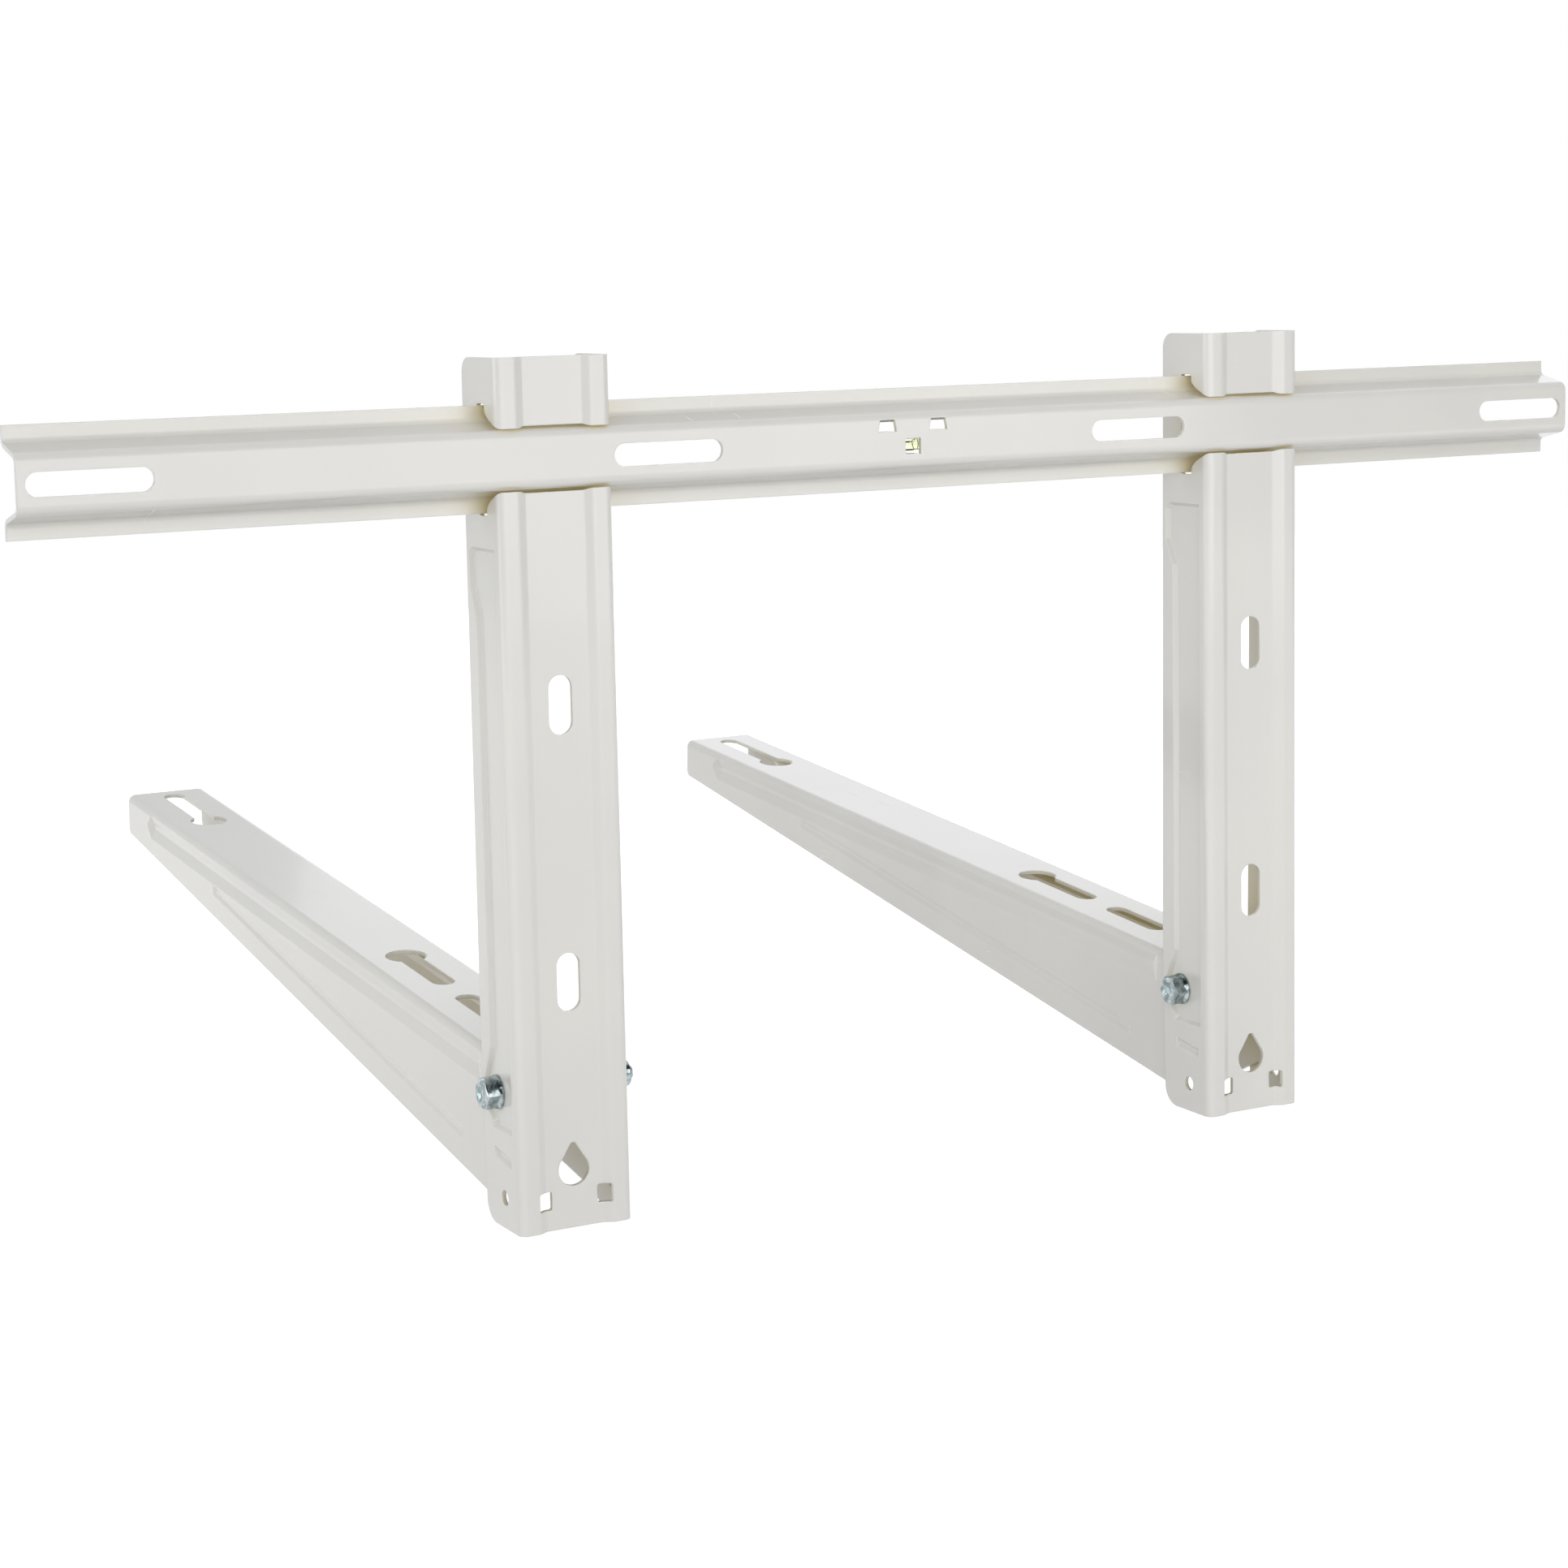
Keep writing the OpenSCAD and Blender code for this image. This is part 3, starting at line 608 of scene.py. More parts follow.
@dataclass(frozen=True)
class Moulded(Finish):
    """Moulded plastic, clear or not: the vial's parts, its fluid and the nut's ring."""

    name: str = "clear_plastic"
    colour: tuple = field(default_factory=lambda: linear(226, 238, 150))
    shade: tuple = field(default_factory=lambda: linear(205, 220, 120))
    roughness: float = 0.12
    transmission: float = 0.0
    ior: float = 1.49
    flow: float = 4.0 * MM
    streak_roughness: float = 0.05
    swells_per_metre: float = 900.0
    swell: float = 0.02 * MM
    swell_strength: float = 0.2
    edge_radius: float = 0.3 * MM
    edge_sharpness: float = 2.0

    def build(self, shelf: EffectShelf) -> Any:
        """Plastic whose colour drifts with the flow of the melt, with rounded edges.

        Args:
            shelf: The shared effects.

        Returns:
            The material.
        """
        material, wires, shader, place = self._begin()
        skin = shelf.place(wires, Effect.COAT_SKIN, Place=place,
                           Swells_per_metre=self.swells_per_metre)
        edge = shelf.place(wires, Effect.CUT_EDGE, Radius=self.edge_radius,
                           Sharpness=self.edge_sharpness)
        streaks = wires.ramp(wires.noise(place, self.flow, 2.0), 0.35, 0.65)
        wires.feed(shader.inputs["Base Color"], wires.blend(streaks, self.colour, self.shade))
        wires.feed(shader.inputs["Roughness"],
                   wires.math("MULTIPLY_ADD", skin.outputs["Tone"], self.streak_roughness,
                              self.roughness))
        shader.inputs["Transmission Weight"].default_value = self.transmission
        shader.inputs["IOR"].default_value = self.ior
        self._relief(wires, shader, skin.outputs["Height"], edge.outputs["Normal"],
                     self.swell_strength, self.swell)
        return material


@dataclass(frozen=True)
class StudioPaper(Finish):
    """The paper of the floor, which the camera and reflections see lifted towards white."""

    name: str = "white_paper"
    colour: tuple = field(default_factory=lambda: linear(205, 205, 205))
    shade: tuple = field(default_factory=lambda: linear(202, 202, 202))
    roughness: float = 0.9
    swells_per_metre: float = 60.0
    near: float = 1.3
    far: float = 3.2
    near_lift: float = 0.66

    def build(self, shelf: EffectShelf) -> Any:
        """Diffuse paper that takes the object's shadow, with light of its own on top.

        Emission = a smooth step of the distance from the origin, from near_lift at near to 1
        at far, and only for camera, glossy and transmission rays.

        Args:
            shelf: The shared effects.

        Returns:
            The material.
        """
        material, wires, shader, place = self._begin()
        skin = shelf.place(wires, Effect.COAT_SKIN, Place=place,
                           Swells_per_metre=self.swells_per_metre)
        wires.feed(shader.inputs["Base Color"],
                   wires.blend(skin.outputs["Tone"], self.colour, self.shade))
        shader.inputs["Roughness"].default_value = self.roughness
        path = wires.node("ShaderNodeLightPath")
        seen = wires.math("ADD", path.outputs["Is Camera Ray"], path.outputs["Is Glossy Ray"])
        seen = wires.math("ADD", seen, path.outputs["Is Transmission Ray"], clamp=True)
        x, y, _ = wires.split(place)
        lift = wires.ramp(wires.hypot(x, y), self.near, self.far, self.near_lift, 1.0)
        shader.inputs["Emission Color"].default_value = WHITE
        wires.feed(shader.inputs["Emission Strength"], wires.math("MULTIPLY", seen, lift))
        return material


def dress(obj: Any, material: Any) -> None:
    """Puts one material on every slot of an object.

    Args:
        obj: A mesh object.
        material: The material.
    """
    if not obj.material_slots:
        obj.data.materials.append(material)
    for slot in obj.material_slots:
        slot.material = material


@dataclass
class Finishes:
    """Every material of the bracket, built once."""

    shelf: EffectShelf = field(default_factory=EffectShelf)

    def __post_init__(self) -> None:
        """Builds the materials."""
        self.coat = PowderCoat().build(self.shelf)
        self.zinc = ZincPlate().build(self.shelf)
        self.block = Moulded(name="vial_block_plastic", colour=linear(253, 254, 250),
                             shade=linear(251, 253, 246), roughness=0.03, transmission=1.0,
                             ior=1.2).build(self.shelf)
        self.fluid = Moulded(name="vial_fluid", colour=linear(252, 254, 228),
                             shade=linear(250, 252, 206), roughness=0.0, transmission=1.0,
                             ior=1.12).build(self.shelf)
        self.mark = Moulded(name="vial_mark", colour=linear(104, 108, 78),
                            shade=linear(112, 116, 84), roughness=0.5).build(self.shelf)
        self.plug = Moulded(name="vial_plug_plastic", colour=linear(226, 226, 214),
                            shade=linear(216, 216, 204), roughness=0.35).build(self.shelf)
        self.nylon = Moulded(name="blue_nylon", colour=linear(86, 122, 178),
                             shade=linear(76, 110, 166), roughness=0.42).build(self.shelf)


@dataclass
class Crossbar:
    """The folded crossbar rail that screws to the wall, one CAD mesh as it comes."""

    def dress(self, frame: dict[str, Any], finishes: Finishes) -> None:
        """Gives the rail its coat.

        Args:
            finishes: The materials.
        """
        dress(frame["nodes"]["crossbar_rail"], finishes.coat)
        log.info("crossbar_rail: powder coat")


@dataclass
class SpiritLevel:
    """The small vial behind the crossbar's window, with its bubble and two marks."""

    fluid_radius: float = 2.97 * MM
    bubble_length: float = 8.0 * MM
    bubble_radius: float = 1.5 * MM
    bubble_rise: float = 1.86 * MM
    mark_place: float = 4.5 * MM
    mark_width: float = 0.45 * MM
    mark_sink: float = 0.04 * MM
    mark_thickness: float = 0.1 * MM
    mark_section: int = 12
    around: int = 72
    along: int = 150

    def dress(self, frame: dict[str, Any], finishes: Finishes) -> None:
        """Gives block and plug their plastics, and makes the fluid and the marks.

        Args:
            finishes: The materials.
        """
        dress(frame["nodes"]["level_vial_block"], finishes.block)
        dress(frame["nodes"]["level_vial_plug"], finishes.plug)
        low, high = (np.array(c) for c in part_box("level_vial_fluid"))
        centre = (low + high) / 2
        fluid = self.fluid(centre, (high[0] - low[0]) / 2)
        dress(fluid, finishes.fluid)
        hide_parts("level_vial_fluid")
        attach(fluid, "crossbar")
        block_low, block_high = (np.array(c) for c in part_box("level_vial_block"))
        middle = (block_low + block_high) / 2
        for name, side in (("left", -1), ("right", 1)):
            mark = self.mark(f"level_mark_{name}", middle, side)
            dress(mark, finishes.mark)
            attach(mark, "crossbar")
        log.info("level vial: block, fluid, two marks and plug")

    def fluid(self, centre: np.ndarray, half: float) -> Any:
        """The fluid, a tube with the air bubble pressed into its top.

        radius(a, x) = min(R, d cos a - sqrt(q(x)^2 - d^2 sin^2 a)), with a the angle from
        upright, d the bubble's rise, and q(x) the bubble's own radius, which closes as a
        half circle at each end. A flat fan closes each end of the tube.

        Args:
            centre: Middle of the tube.
            half: Half its length.

        Returns:
            The piece.
        """
        x = np.linspace(-half, half, self.along)
        angle = np.linspace(0.0, 2 * math.pi, self.around, endpoint=False)
        straight = self.bubble_length / 2 - self.bubble_radius
        past = np.clip(np.abs(x - self._bubble_middle(centre)) - straight, 0.0, None)
        bubble = np.sqrt(np.clip(self.bubble_radius**2 - past**2, 0.0, None))[:, None]
        sine, cosine = np.sin(angle)[None, :], np.cos(angle)[None, :]
        inside = bubble**2 - (self.bubble_rise * sine) ** 2
        hit = self.bubble_rise * cosine - np.sqrt(np.clip(inside, 0.0, None))
        pressed = (inside > 0.0) & (cosine > 0.0)
        radius = np.where(pressed, np.minimum(hit, self.fluid_radius), self.fluid_radius)
        rows = np.stack([np.repeat(x[:, None], self.around, axis=1), radius * sine,
                         radius * cosine], axis=-1)
        end = np.array([half, 0.0, 0.0])
        return turned_piece("level_fluid", rows + centre, centre - end, centre + end, flip=True)

    def _bubble_middle(self, centre: np.ndarray) -> float:
        """Place of the bubble's middle along the tube, under the middle of the block."""
        low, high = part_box("level_vial_block")
        return float((low[0] + high[0]) / 2 - centre[0])

    def mark(self, name: str, middle: np.ndarray, side: int) -> Any:
        """One printed ring round the fluid, a closed band with a rounded section.

        Its section is an ellipse: x = place + w / 2 cos t, and radius = R - sink + h sin t, with
        R the fluid's radius, w the mark's width and h half its thickness.

        Args:
            name: Name of the piece.
            middle: Middle of the block.
            side: -1 or 1.

        Returns:
            The piece.
        """
        t = np.linspace(0.0, 2 * math.pi, self.mark_section, endpoint=False)[:, None]
        a = np.linspace(0.0, 2 * math.pi, self.around, endpoint=False)[None, :]
        radius = self.fluid_radius - self.mark_sink + self.mark_thickness / 2 * np.sin(t)
        x = side * self.mark_place + self.mark_width / 2 * np.cos(t)
        rows = np.stack(np.broadcast_arrays(x, radius * np.sin(a), radius * np.cos(a)), axis=-1)
        return turned_piece(name, rows + middle)


@dataclass
class HexFastener:
    """What bolt head and nut share: a flange, a sloping cone and a chamfered hexagon.

    Places are given along the fastener's own axis, outwards from the face that it sits on.
    """

    across_flats: float = 13.0 * MM
    flange_radius: float = 7.7 * MM
    flange_rim: float = 1.0 * MM
    flange_cone: float = 1.3 * MM
    corner_softness: float = 0.22 * MM
    edge_softness: float = 0.12 * MM
    chamfer: float = 30.0
    around: int = 144

    def angles(self) -> np.ndarray:
        """The angles about the axis at which every ring of points is worked out."""
        return np.linspace(0.0, 2 * math.pi, self.around, endpoint=False)

    def hexagon(self) -> np.ndarray:
        """Distance of the hexagon from the axis at each angle.

        r = h / cos a, with a the angle from the middle of the nearest flat and h half the width
        across the flats. A soft minimum with the corner circle rounds the corners:
        r = -k log(exp(-r1 / k) + exp(-r2 / k)).

        Returns:
            One radius per angle.
        """
        half = self.across_flats / 2
        sixth = math.pi / 3
        off = np.mod(self.angles() + sixth / 2, sixth) - sixth / 2
        flat = half / np.cos(off)
        corner = half / math.cos(sixth / 2) + 0.06 * MM
        k = self.corner_softness
        return -k * np.log(np.exp(-flat / k) + np.exp(-corner / k))

    def ring(self, radius: Any, height: Any) -> np.ndarray:
        """One ring of points: radius and height may differ from angle to angle.

        Args:
            radius: Distance from the axis.
            height: Place along the axis.

        Returns:
            Array of points along the axis, across and up.
        """
        a = self.angles()
        radius = np.broadcast_to(radius, a.shape)
        height = np.broadcast_to(height, a.shape)
        return np.stack([height, radius * np.sin(a), radius * np.cos(a)], axis=-1)

    def wrench_rings(self, top: float, top_radius: float) -> list[np.ndarray]:
        """The rings from the top face's edge down the chamfer and the flats to the flange.

        The chamfer falls by its angle from the top face's circle, so that it cuts a curved line
        into each flat, and the flats end where they meet the flange's cone.

        Args:
            top: Height of the top face.
            top_radius: Radius of the top face's circle.

        Returns:
            The rings, from the top outwards and down.
        """
        hexagon = self.hexagon()
        fall = math.tan(math.radians(self.chamfer))
        edge = top - (hexagon - top_radius) * fall
        slope = self.flange_cone / (self.flange_radius - self.across_flats / 2 - 0.2 * MM)
        meet = self.flange_rim + slope * (self.flange_radius - hexagon)
        soft = self.edge_softness
        return [
            self.ring(top_radius, top),
            self.ring(top_radius + soft, top - soft * 0.3),
            self.ring(hexagon - soft, edge + soft * fall),
            self.ring(hexagon - soft * 0.15, edge - soft * 0.4),
            self.ring(hexagon, edge - soft * 1.4),
            self.ring(hexagon, meet + soft),
            self.ring(hexagon + soft, meet - soft * slope),
            self.ring(self.flange_radius - soft, self.flange_rim + soft * slope),
            self.ring(self.flange_radius - soft * 0.3, self.flange_rim),
            self.ring(self.flange_radius, self.flange_rim - soft),
            self.ring(self.flange_radius, soft),
            self.ring(self.flange_radius - soft, 0.0),
        ]

    @staticmethod
    def stand(rows: list[np.ndarray], seat: np.ndarray, out: int) -> np.ndarray:
        """Turns rings about the fastener's own axis into places in the frame.

        Args:
            rows: The rings.
            seat: The point where the axis meets the face that the fastener sits on.
            out: 1 where the fastener points along +X, and -1 along -X.

        Returns:
            The grid of points.
        """
        grid = np.stack(rows)
        return grid * np.array([out, 1, 1]) + seat


@dataclass
class PivotBolt(HexFastener):
    """The flange bolt that an arm swings on, with a dished head and a rolled thread."""

    head: float = 8.0 * MM
    length: float = 65.0 * MM
    shank_radius: float = 4.0 * MM
    dish_radius: float = 4.55 * MM
    dish_floor: float = 3.25 * MM
    dish_depth: float = 1.0 * MM
    thread_length: float = 24.0 * MM
    thread_pitch: float = 1.25 * MM
    thread_depth: float = 0.68 * MM
    tip_chamfer: float = 1.0 * MM
    crest_share: float = 1.3
    steps_per_turn: int = 12

    def build(self, side: Side, finishes: Finishes) -> None:
        """Makes the bolt and puts it in its node's place.

        Args:
            side: Which upright.
            finishes: The materials.
        """
        node = f"{side.value}_pivot_bolt"
        low, high = (np.array(c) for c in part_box(node))
        seat = (low + high) / 2
        seat[0] = high[0] - self.head
        rows = self.head_rings() + self.shank_rings()
        first = np.array([self.head - self.dish_depth + 0.08 * MM, 0.0, 0.0]) + seat
        last = np.array([-self.length, 0.0, 0.0]) + seat
        bolt = turned_piece(f"{side.value}_bolt", self.stand(rows, seat, 1), first, last)
        dress(bolt, finishes.zinc)
        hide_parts(node)
        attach(bolt, f"{side.value}_upright_body")
        log.info("%s bolt: %d faces", side.value, len(bolt.data.polygons))

    def head_rings(self) -> list[np.ndarray]:
        """The rings of the dished top, the hexagon and the flange, from the axis outwards."""
        top, floor = self.head, self.head - self.dish_depth
        return [
            self.ring(self.dish_floor * 0.35, floor + 0.07 * MM),
            self.ring(self.dish_floor * 0.8, floor + 0.01 * MM),
            self.ring(self.dish_floor, floor),
            self.ring(self.dish_floor + 0.15 * MM, floor + 0.05 * MM),
            self.ring(self.dish_radius - 0.1 * MM, top - 0.08 * MM),
            self.ring(self.dish_radius + 0.05 * MM, top),
            *self.wrench_rings(top, self.across_flats / 2 - 0.35 * MM),
        ]

    def shank_rings(self) -> list[np.ndarray]:
        """The shank from the seat to the tip.

        Thread radius = r - depth * f(u), with u the fraction of a turn at (x / pitch + a / 2pi),
        and f a triangle wave, steepened by crest_share and cut flat at crest and root. It runs
        in over one turn, and a chamfer of 45 degrees tapers the tip.

        Returns:
            The rings, from the seat down.
        """
        r, start, tip = self.shank_radius, self.length - self.thread_length, self.length
        rings = [self.ring(r + 0.3 * MM, 0.0), self.ring(r, -0.3 * MM), self.ring(r, -start)]
        steps = round(self.thread_length / self.thread_pitch * self.steps_per_turn)
        for down in np.linspace(start, tip - 0.02 * MM, steps)[1:]:
            turn = np.mod(down / self.thread_pitch + self.angles() / (2 * math.pi), 1.0)
            wave = np.clip(np.abs(2 * turn - 1) * self.crest_share
                           - (self.crest_share - 1.0) / 2, 0.0, 1.0)
            run_in = min(1.0, (down - start) / self.thread_pitch)
            taper = np.clip(self.tip_chamfer - (tip - down), 0.0, None)
            radius = np.minimum(r - self.thread_depth * run_in * wave, r - taper)
            rings.append(self.ring(radius, -down))
        rings.append(self.ring(r - self.tip_chamfer, -tip))
        return rings


@dataclass
class LockNut(HexFastener):
    """The flange nut with the raised collar that holds its locking ring."""

    height: float = 12.6 * MM
    collar: float = 3.2 * MM
    collar_radius: float = 6.1 * MM
    lip_radius: float = 4.7 * MM
    ring_radius: float = 5.4 * MM
    ring_height: float = 2.2 * MM
    bore_radius: float = 4.0 * MM
    shoulder: float = 0.8 * MM

    def build(self, side: Side, finishes: Finishes) -> None:
        """Makes the nut and puts it in its node's place.

        Args:
            side: Which upright.
            finishes: The materials.
        """
        node = f"{side.value}_pivot_nut"
        low, high = (np.array(c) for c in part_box(node))
        seat = (low + high) / 2
        seat[0] = high[0]
        nut = turned_piece(f"{side.value}_nut", self.stand(self.rings(), seat, -1), flip=True)
        dress(nut, finishes.zinc)
        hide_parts(node)
        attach(nut, f"{side.value}_upright_body")
        log.info("%s nut: %d faces", side.value, len(nut.data.polygons))

    def rings(self) -> list[np.ndarray]:
        """The section of the nut: over the collar, down the hexagon, and back through the bore.

        The collar's shoulder is a quarter circle.

        Returns:
            The rings, closed on themselves.
        """
        hexagon_top = self.height - self.collar
        bend = np.radians(np.linspace(0.0, 90.0, 7))
        shoulder = [self.ring(self.collar_radius - self.shoulder * (1 - math.sin(t)),
                              self.height - self.shoulder * (1 - math.cos(t))) for t in bend]
        return [
            self.ring(self.bore_radius, hexagon_top),
            self.ring(self.ring_radius, hexagon_top),
            self.ring(self.ring_radius, hexagon_top + self.ring_height + 0.1 * MM),
            self.ring(self.lip_radius, hexagon_top + self.ring_height + 0.2 * MM),
            self.ring(self.lip_radius, self.height - 0.1 * MM),
            self.ring(self.lip_radius + 0.1 * MM, self.height),
            *shoulder,
            self.ring(self.collar_radius, hexagon_top + 0.3 * MM),
            self.ring(self.collar_radius + 0.03 * MM, hexagon_top + 0.05 * MM),
            *self.wrench_rings(hexagon_top, self.collar_radius + 0.1 * MM),
            self.ring(self.bore_radius, 0.0),
        ]


@dataclass
class SideAssembly:
    """One upright with its arm, its pivot bolt and its lock nut."""

    side: Side

    def dress(self, frame: dict[str, Any], finishes: Finishes) -> None:
        """Gives the sheet parts their coat and the fasteners their zinc.

        Args:
            finishes: The materials.
        """
        name = self.side.value
        for part in ("upright", "arm"):
            dress(frame["nodes"][f"{name}_{part}"], finishes.coat)
        PivotBolt().build(self.side, finishes)
        LockNut().build(self.side, finishes)
        dress(frame["nodes"][f"{name}_nut_lock_ring"], finishes.nylon)
        log.info("%s side: upright, arm, bolt and nut", name)


@dataclass
class Studio:
    """Camera, lamps, world and floor."""

    place: tuple[float, float, float] = (0.73649, 1.2354, 0.075)
    turn: tuple[float, float, float] = (82.7851, 1.2751, 152.0652)
    lens: float = 72.947
    shift: tuple[float, float] = (0.03601, -0.06648)
    ambient_colour: tuple[float, float, float, float] = (1.0, 0.995, 0.985, 1.0)
    mirrored_colour: tuple[float, float, float, float] = (0.97, 0.98, 1.0, 1.0)
    ambient: float = 0.445
    ambient_lean: float = 0.18
    dark_end: float = 0.05
    sensor: float = 36.0
    floor_level: float = -0.75
    floor_size: float = 12.0
    floor_rise: float = 0.02
    floor_lines: int = 41

    def camera(self) -> None:
        """Puts the camera where the photograph was taken from."""
        data = bpy.data.cameras.new("photo_camera")
        data.lens = self.lens
        data.sensor_width = self.sensor
        data.sensor_fit = "HORIZONTAL"
        data.shift_x, data.shift_y = self.shift
        data.clip_start = 0.01
        camera = bpy.data.objects.new("photo_camera", data)
        camera.location = self.place
        camera.rotation_euler = tuple(math.radians(a) for a in self.turn)
        bpy.context.scene.collection.objects.link(camera)
        bpy.context.scene.camera = camera
        log.info("camera at %s", self.place)

    def lamp(self, name: str, place: tuple[float, float, float],
             aim: tuple[float, float, float], size: tuple[float, float], power: float,
             colour: tuple[float, float, float] = (1.0, 1.0, 1.0)) -> None:
        """Hangs one soft box.

        Args:
            name: Name of the lamp.
            place: Where it hangs.
            aim: The point that it looks at.
            size: Its width and height.
            power: Its power in watts.
            colour: Its colour.
        """
        data = bpy.data.lights.new(name, "AREA")
        data.shape = "RECTANGLE"
        data.size, data.size_y = size
        data.energy = power
        data.color = colour
        lamp = bpy.data.objects.new(name, data)
        lamp.location = place
        from_aim = np.array(place) - np.array(aim)
        across = math.hypot(from_aim[0], from_aim[1])
        lamp.rotation_euler = (math.atan2(across, from_aim[2]), 0.0,
                               math.atan2(from_aim[1], from_aim[0]) + math.pi / 2)
        bpy.context.scene.collection.objects.link(lamp)

    def lamps(self) -> None:
        """Hangs the soft boxes and sets the world.

        The key stands on the wall side, a little above the crossbar, so what faces the wall is
        brightest at the top and greyer towards the foot. The side box lights what faces right,
        the narrow strip draws bright lines on the bends, and the fill softens the room side.
        """
        self.lamp("wall_side_key", place=(-0.14, 1.2, 0.22), aim=(-0.14, 0.0, 0.0),
                  size=(1.9, 0.9), power=10.0)
        self.lamp("right_side_box", place=(5.0, -0.4, 0.2), aim=(0.1, -0.2, -0.2),
                  size=(3.0, 3.0), power=56.0, colour=(0.98, 0.99, 1.0))
        self.lamp("edge_strip", place=(1.7, 1.25, 0.1), aim=(0.1, 0.0, -0.1),
                  size=(0.05, 1.7), power=2.0)
        self.lamp("room_side_fill", place=(-1.8, -2.6, 1.2), aim=(0.0, -0.1, -0.12),
                  size=(2.2, 1.6), power=6.0, colour=(0.95, 0.97, 1.0))
        world = bpy.data.worlds.new("studio")
        bpy.context.scene.world = world
        world.use_nodes = True
        world.node_tree.nodes.clear()
        wires = Wiring(world.node_tree)
        path = wires.node("ShaderNodeLightPath")
        ambient = wires.node("ShaderNodeBackground", "ambient")
        ambient.inputs["Color"].default_value = self.ambient_colour
        wires.feed(ambient.inputs["Strength"], self._ambient_light(wires))
        mirrored = wires.node("ShaderNodeBackground", "what gloss sees")
        mirrored.inputs["Color"].default_value = self.mirrored_colour
        wires.feed(mirrored.inputs["Strength"], self._dark_end(wires))
        white = wires.node("ShaderNodeBackground", "white backdrop")
        white.inputs["Color"].default_value = WHITE
        white.inputs["Strength"].default_value = 1.0
        gloss = wires.node("ShaderNodeMixShader")
        wires.feed(gloss.inputs[0], path.outputs["Is Glossy Ray"])
        wires.feed(gloss.inputs[1], ambient.outputs[0])
        wires.feed(gloss.inputs[2], mirrored.outputs[0])
        seen = wires.math("ADD", path.outputs["Is Camera Ray"],
                          path.outputs["Is Transmission Ray"], clamp=True)
        pick = wires.node("ShaderNodeMixShader")
        wires.feed(pick.inputs[0], seen)
        wires.feed(pick.inputs[1], gloss.outputs[0])
        wires.feed(pick.inputs[2], white.outputs[0])
        out = wires.node("ShaderNodeOutputWorld")
        wires.feed(out.inputs["Surface"], pick.outputs[0])
        log.info("lamps and world set")

    def _ambient_light(self, wires: Wiring) -> Any:
        """The room's soft light by direction: ambient + lean * x, so a little more from the right.

        Args:
            wires: The world's wiring.

        Returns:
            The strength output.
        """
        x, _, _ = wires.split(wires.node("ShaderNodeTexCoord").outputs["Generated"])
        return wires.math("MULTIPLY_ADD", x, self.ambient_lean, self.ambient)

    def _dark_end(self, wires: Wiring) -> Any:
        """How bright the studio is in each direction, as gloss sees it.

        White backdrop towards the room, -Y, and the dark end of the studio towards the wall side:
        a smooth step of the direction's y.

        Args:
            wires: The world's wiring.

        Returns:
            The strength output.
        """
        _, y, _ = wires.split(wires.node("ShaderNodeTexCoord").outputs["Generated"])
        return wires.ramp(y, -0.25, 0.45, 1.0, self.dark_end)

    def floor(self, shelf: EffectShelf) -> None:
        """Lays the paper floor, a grid that rises a hair towards its rim.

        Height = floor_level + floor_rise * (distance / half size) ** 4.

        Args:
            shelf: The shared effects.
        """
        steps = np.linspace(-self.floor_size / 2, self.floor_size / 2, self.floor_lines)
        x, y = np.meshgrid(steps, steps)
        z = self.floor_level + self.floor_rise * (np.hypot(x, y) / (self.floor_size / 2)) ** 4
        points = np.stack([x, y, z], axis=-1).reshape(-1, 3)
        paper = mesh_piece("studio_floor", points, quads(*x.shape, False, False))
        dress(paper, StudioPaper().build(shelf))
        log.info("floor laid")


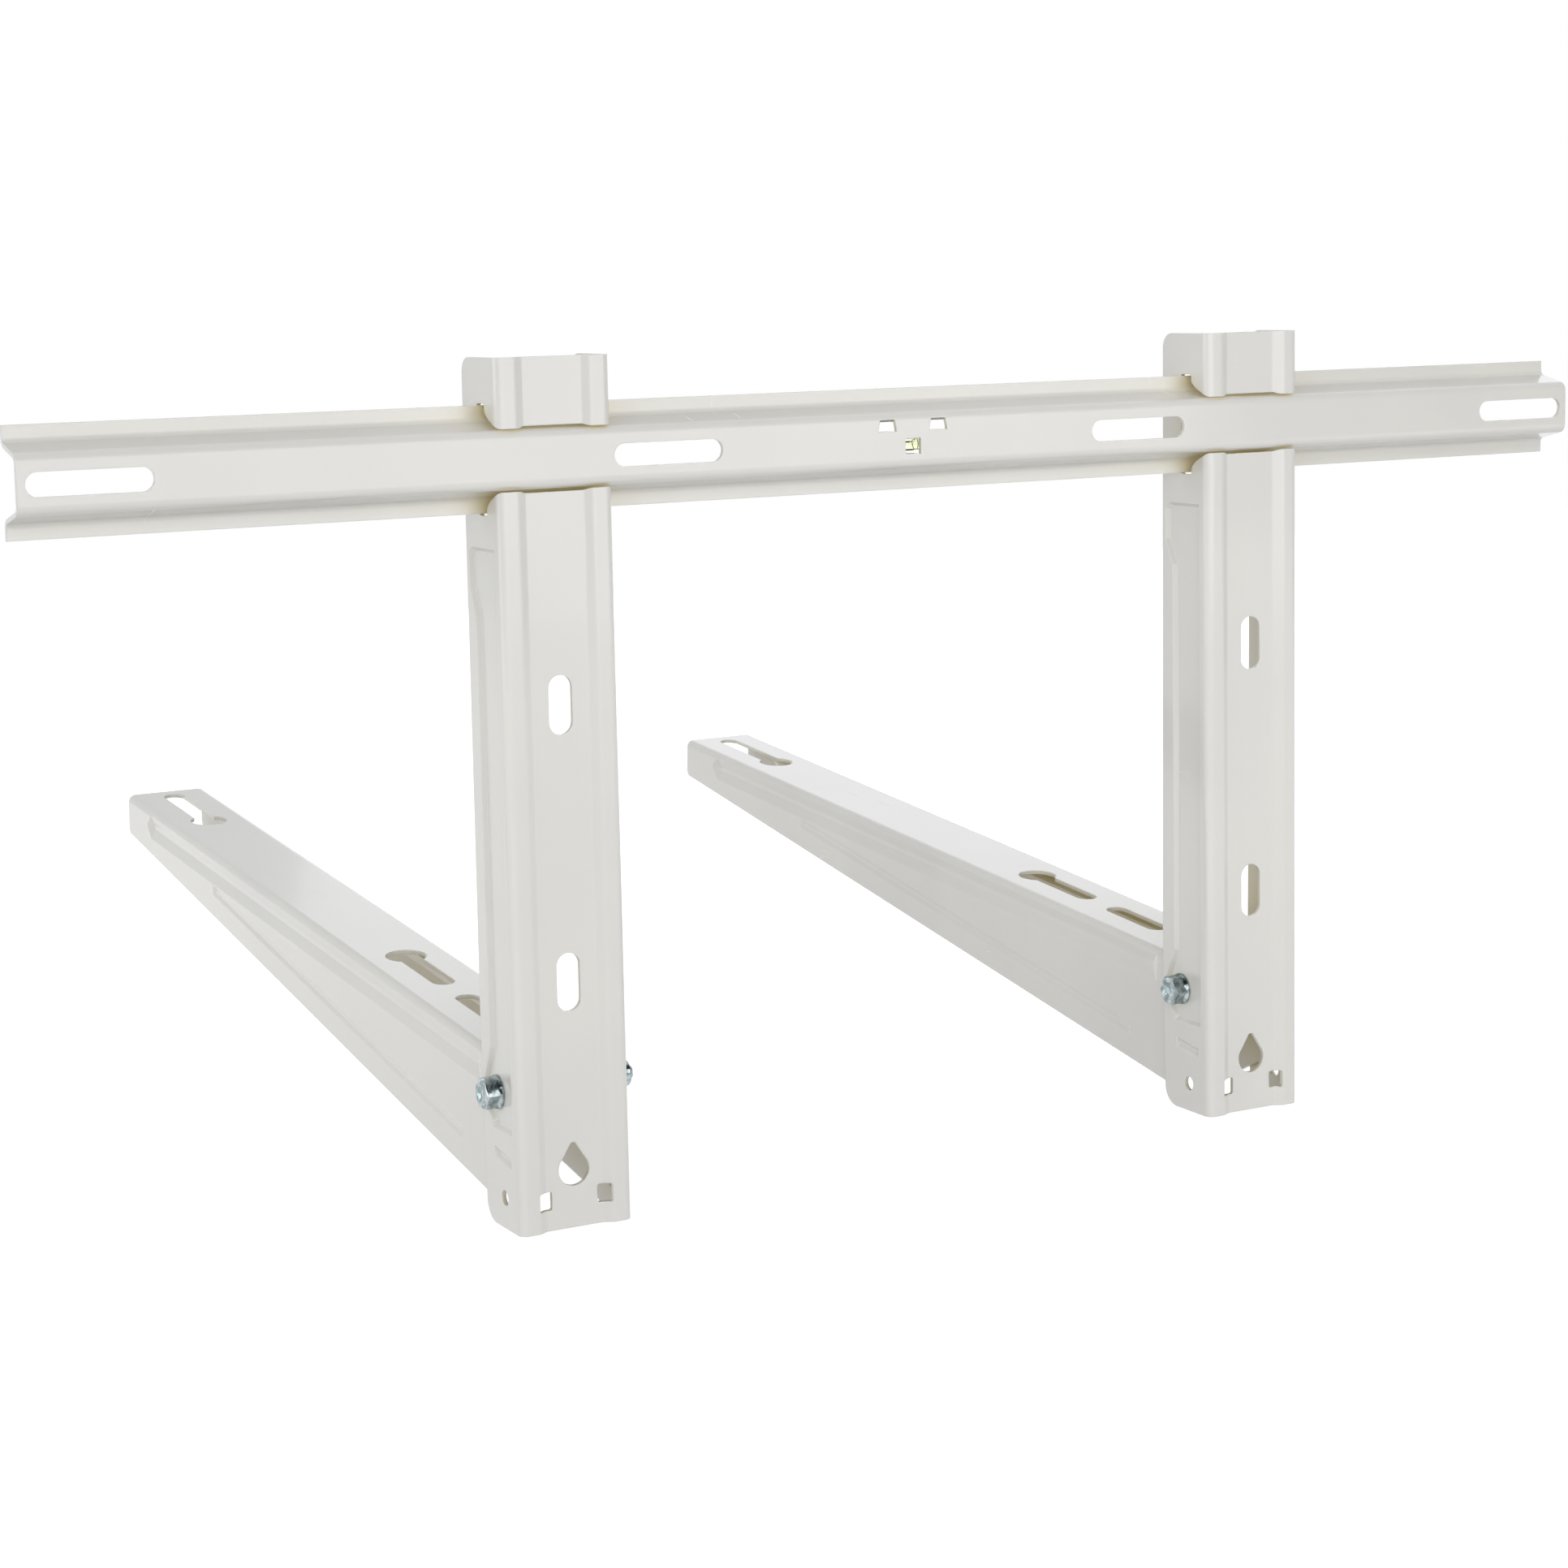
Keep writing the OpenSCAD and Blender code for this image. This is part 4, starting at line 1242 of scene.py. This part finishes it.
def quads(rows: int, columns: int, wrap_rows: bool, wrap_columns: bool) -> list[list[int]]:
    """Lists the quads between neighbours in a grid of points.

    Args:
        rows: How many rows there are.
        columns: How many points a row has.
        wrap_rows: Whether the last row joins the first.
        wrap_columns: Whether a row's last point joins its first.

    Returns:
        Four point numbers for each quad.
    """
    i, j = np.meshgrid(np.arange(rows if wrap_rows else rows - 1),
                       np.arange(columns if wrap_columns else columns - 1), indexing="ij")
    i2, j2 = (i + 1) % rows, (j + 1) % columns
    corners = (i * columns + j, i * columns + j2, i2 * columns + j2, i2 * columns + j)
    return np.stack(corners, axis=-1).reshape(-1, 4).tolist()


def mesh_piece(name: str, points: np.ndarray, faces: list[list[int]]) -> Any:
    """Makes a smooth mesh object that keeps its sharp edges.

    Args:
        name: Name of the piece.
        points: Array of points and x, y, z.
        faces: The point numbers of each face.

    Returns:
        The new object, at the origin.
    """
    mesh = bpy.data.meshes.new(name)
    mesh.from_pydata(points.tolist(), [], faces)
    mesh.polygons.foreach_set("use_smooth", np.ones(len(faces), bool))
    mesh.set_sharp_from_angle(angle=SHARP_ANGLE)
    mesh.update()
    made = bpy.data.objects.new(name, mesh)
    bpy.context.scene.collection.objects.link(made)
    return made


def turned_piece(name: str, rows: np.ndarray, first: Any = None, last: Any = None,
                 flip: bool = False) -> Any:
    """Makes a closed mesh object from rings of points.

    Neighbouring rings are joined by quads. Where a point closes each end, a fan of triangles
    joins it to the ring. Without such points the last ring joins the first.

    Args:
        name: Name of the piece.
        rows: Array of rings, points and x, y, z.
        first: The point that closes the first ring.
        last: The point that closes the last ring.
        flip: Whether the faces are turned round.

    Returns:
        The new object, at the origin.
    """
    count, around = rows.shape[:2]
    points = rows.reshape(-1, 3)
    faces = quads(count, around, first is None, True)
    if first is not None:
        points = np.vstack([points, first, last])
        k = np.arange(around)
        k2 = (k + 1) % around
        end = (count - 1) * around
        faces += np.stack([np.full(around, count * around), k2, k], axis=-1).tolist()
        faces += np.stack([np.full(around, count * around + 1), end + k, end + k2],
                          axis=-1).tolist()
    if flip:
        faces = [face[::-1] for face in faces]
    return mesh_piece(name, points, faces)


def main() -> None:
    """Builds the scene in order."""
    logging.basicConfig(level=logging.INFO, format="%(message)s")
    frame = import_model()
    finishes = Finishes()
    Crossbar().dress(frame, finishes)
    SpiritLevel().dress(frame, finishes)
    for side in Side:
        SideAssembly(side).dress(frame, finishes)
    studio = Studio()
    studio.camera()
    studio.lamps()
    studio.floor(finishes.shelf)
    bpy.context.scene.view_settings.view_transform = "Standard"


if __name__ == "__main__":
    main()
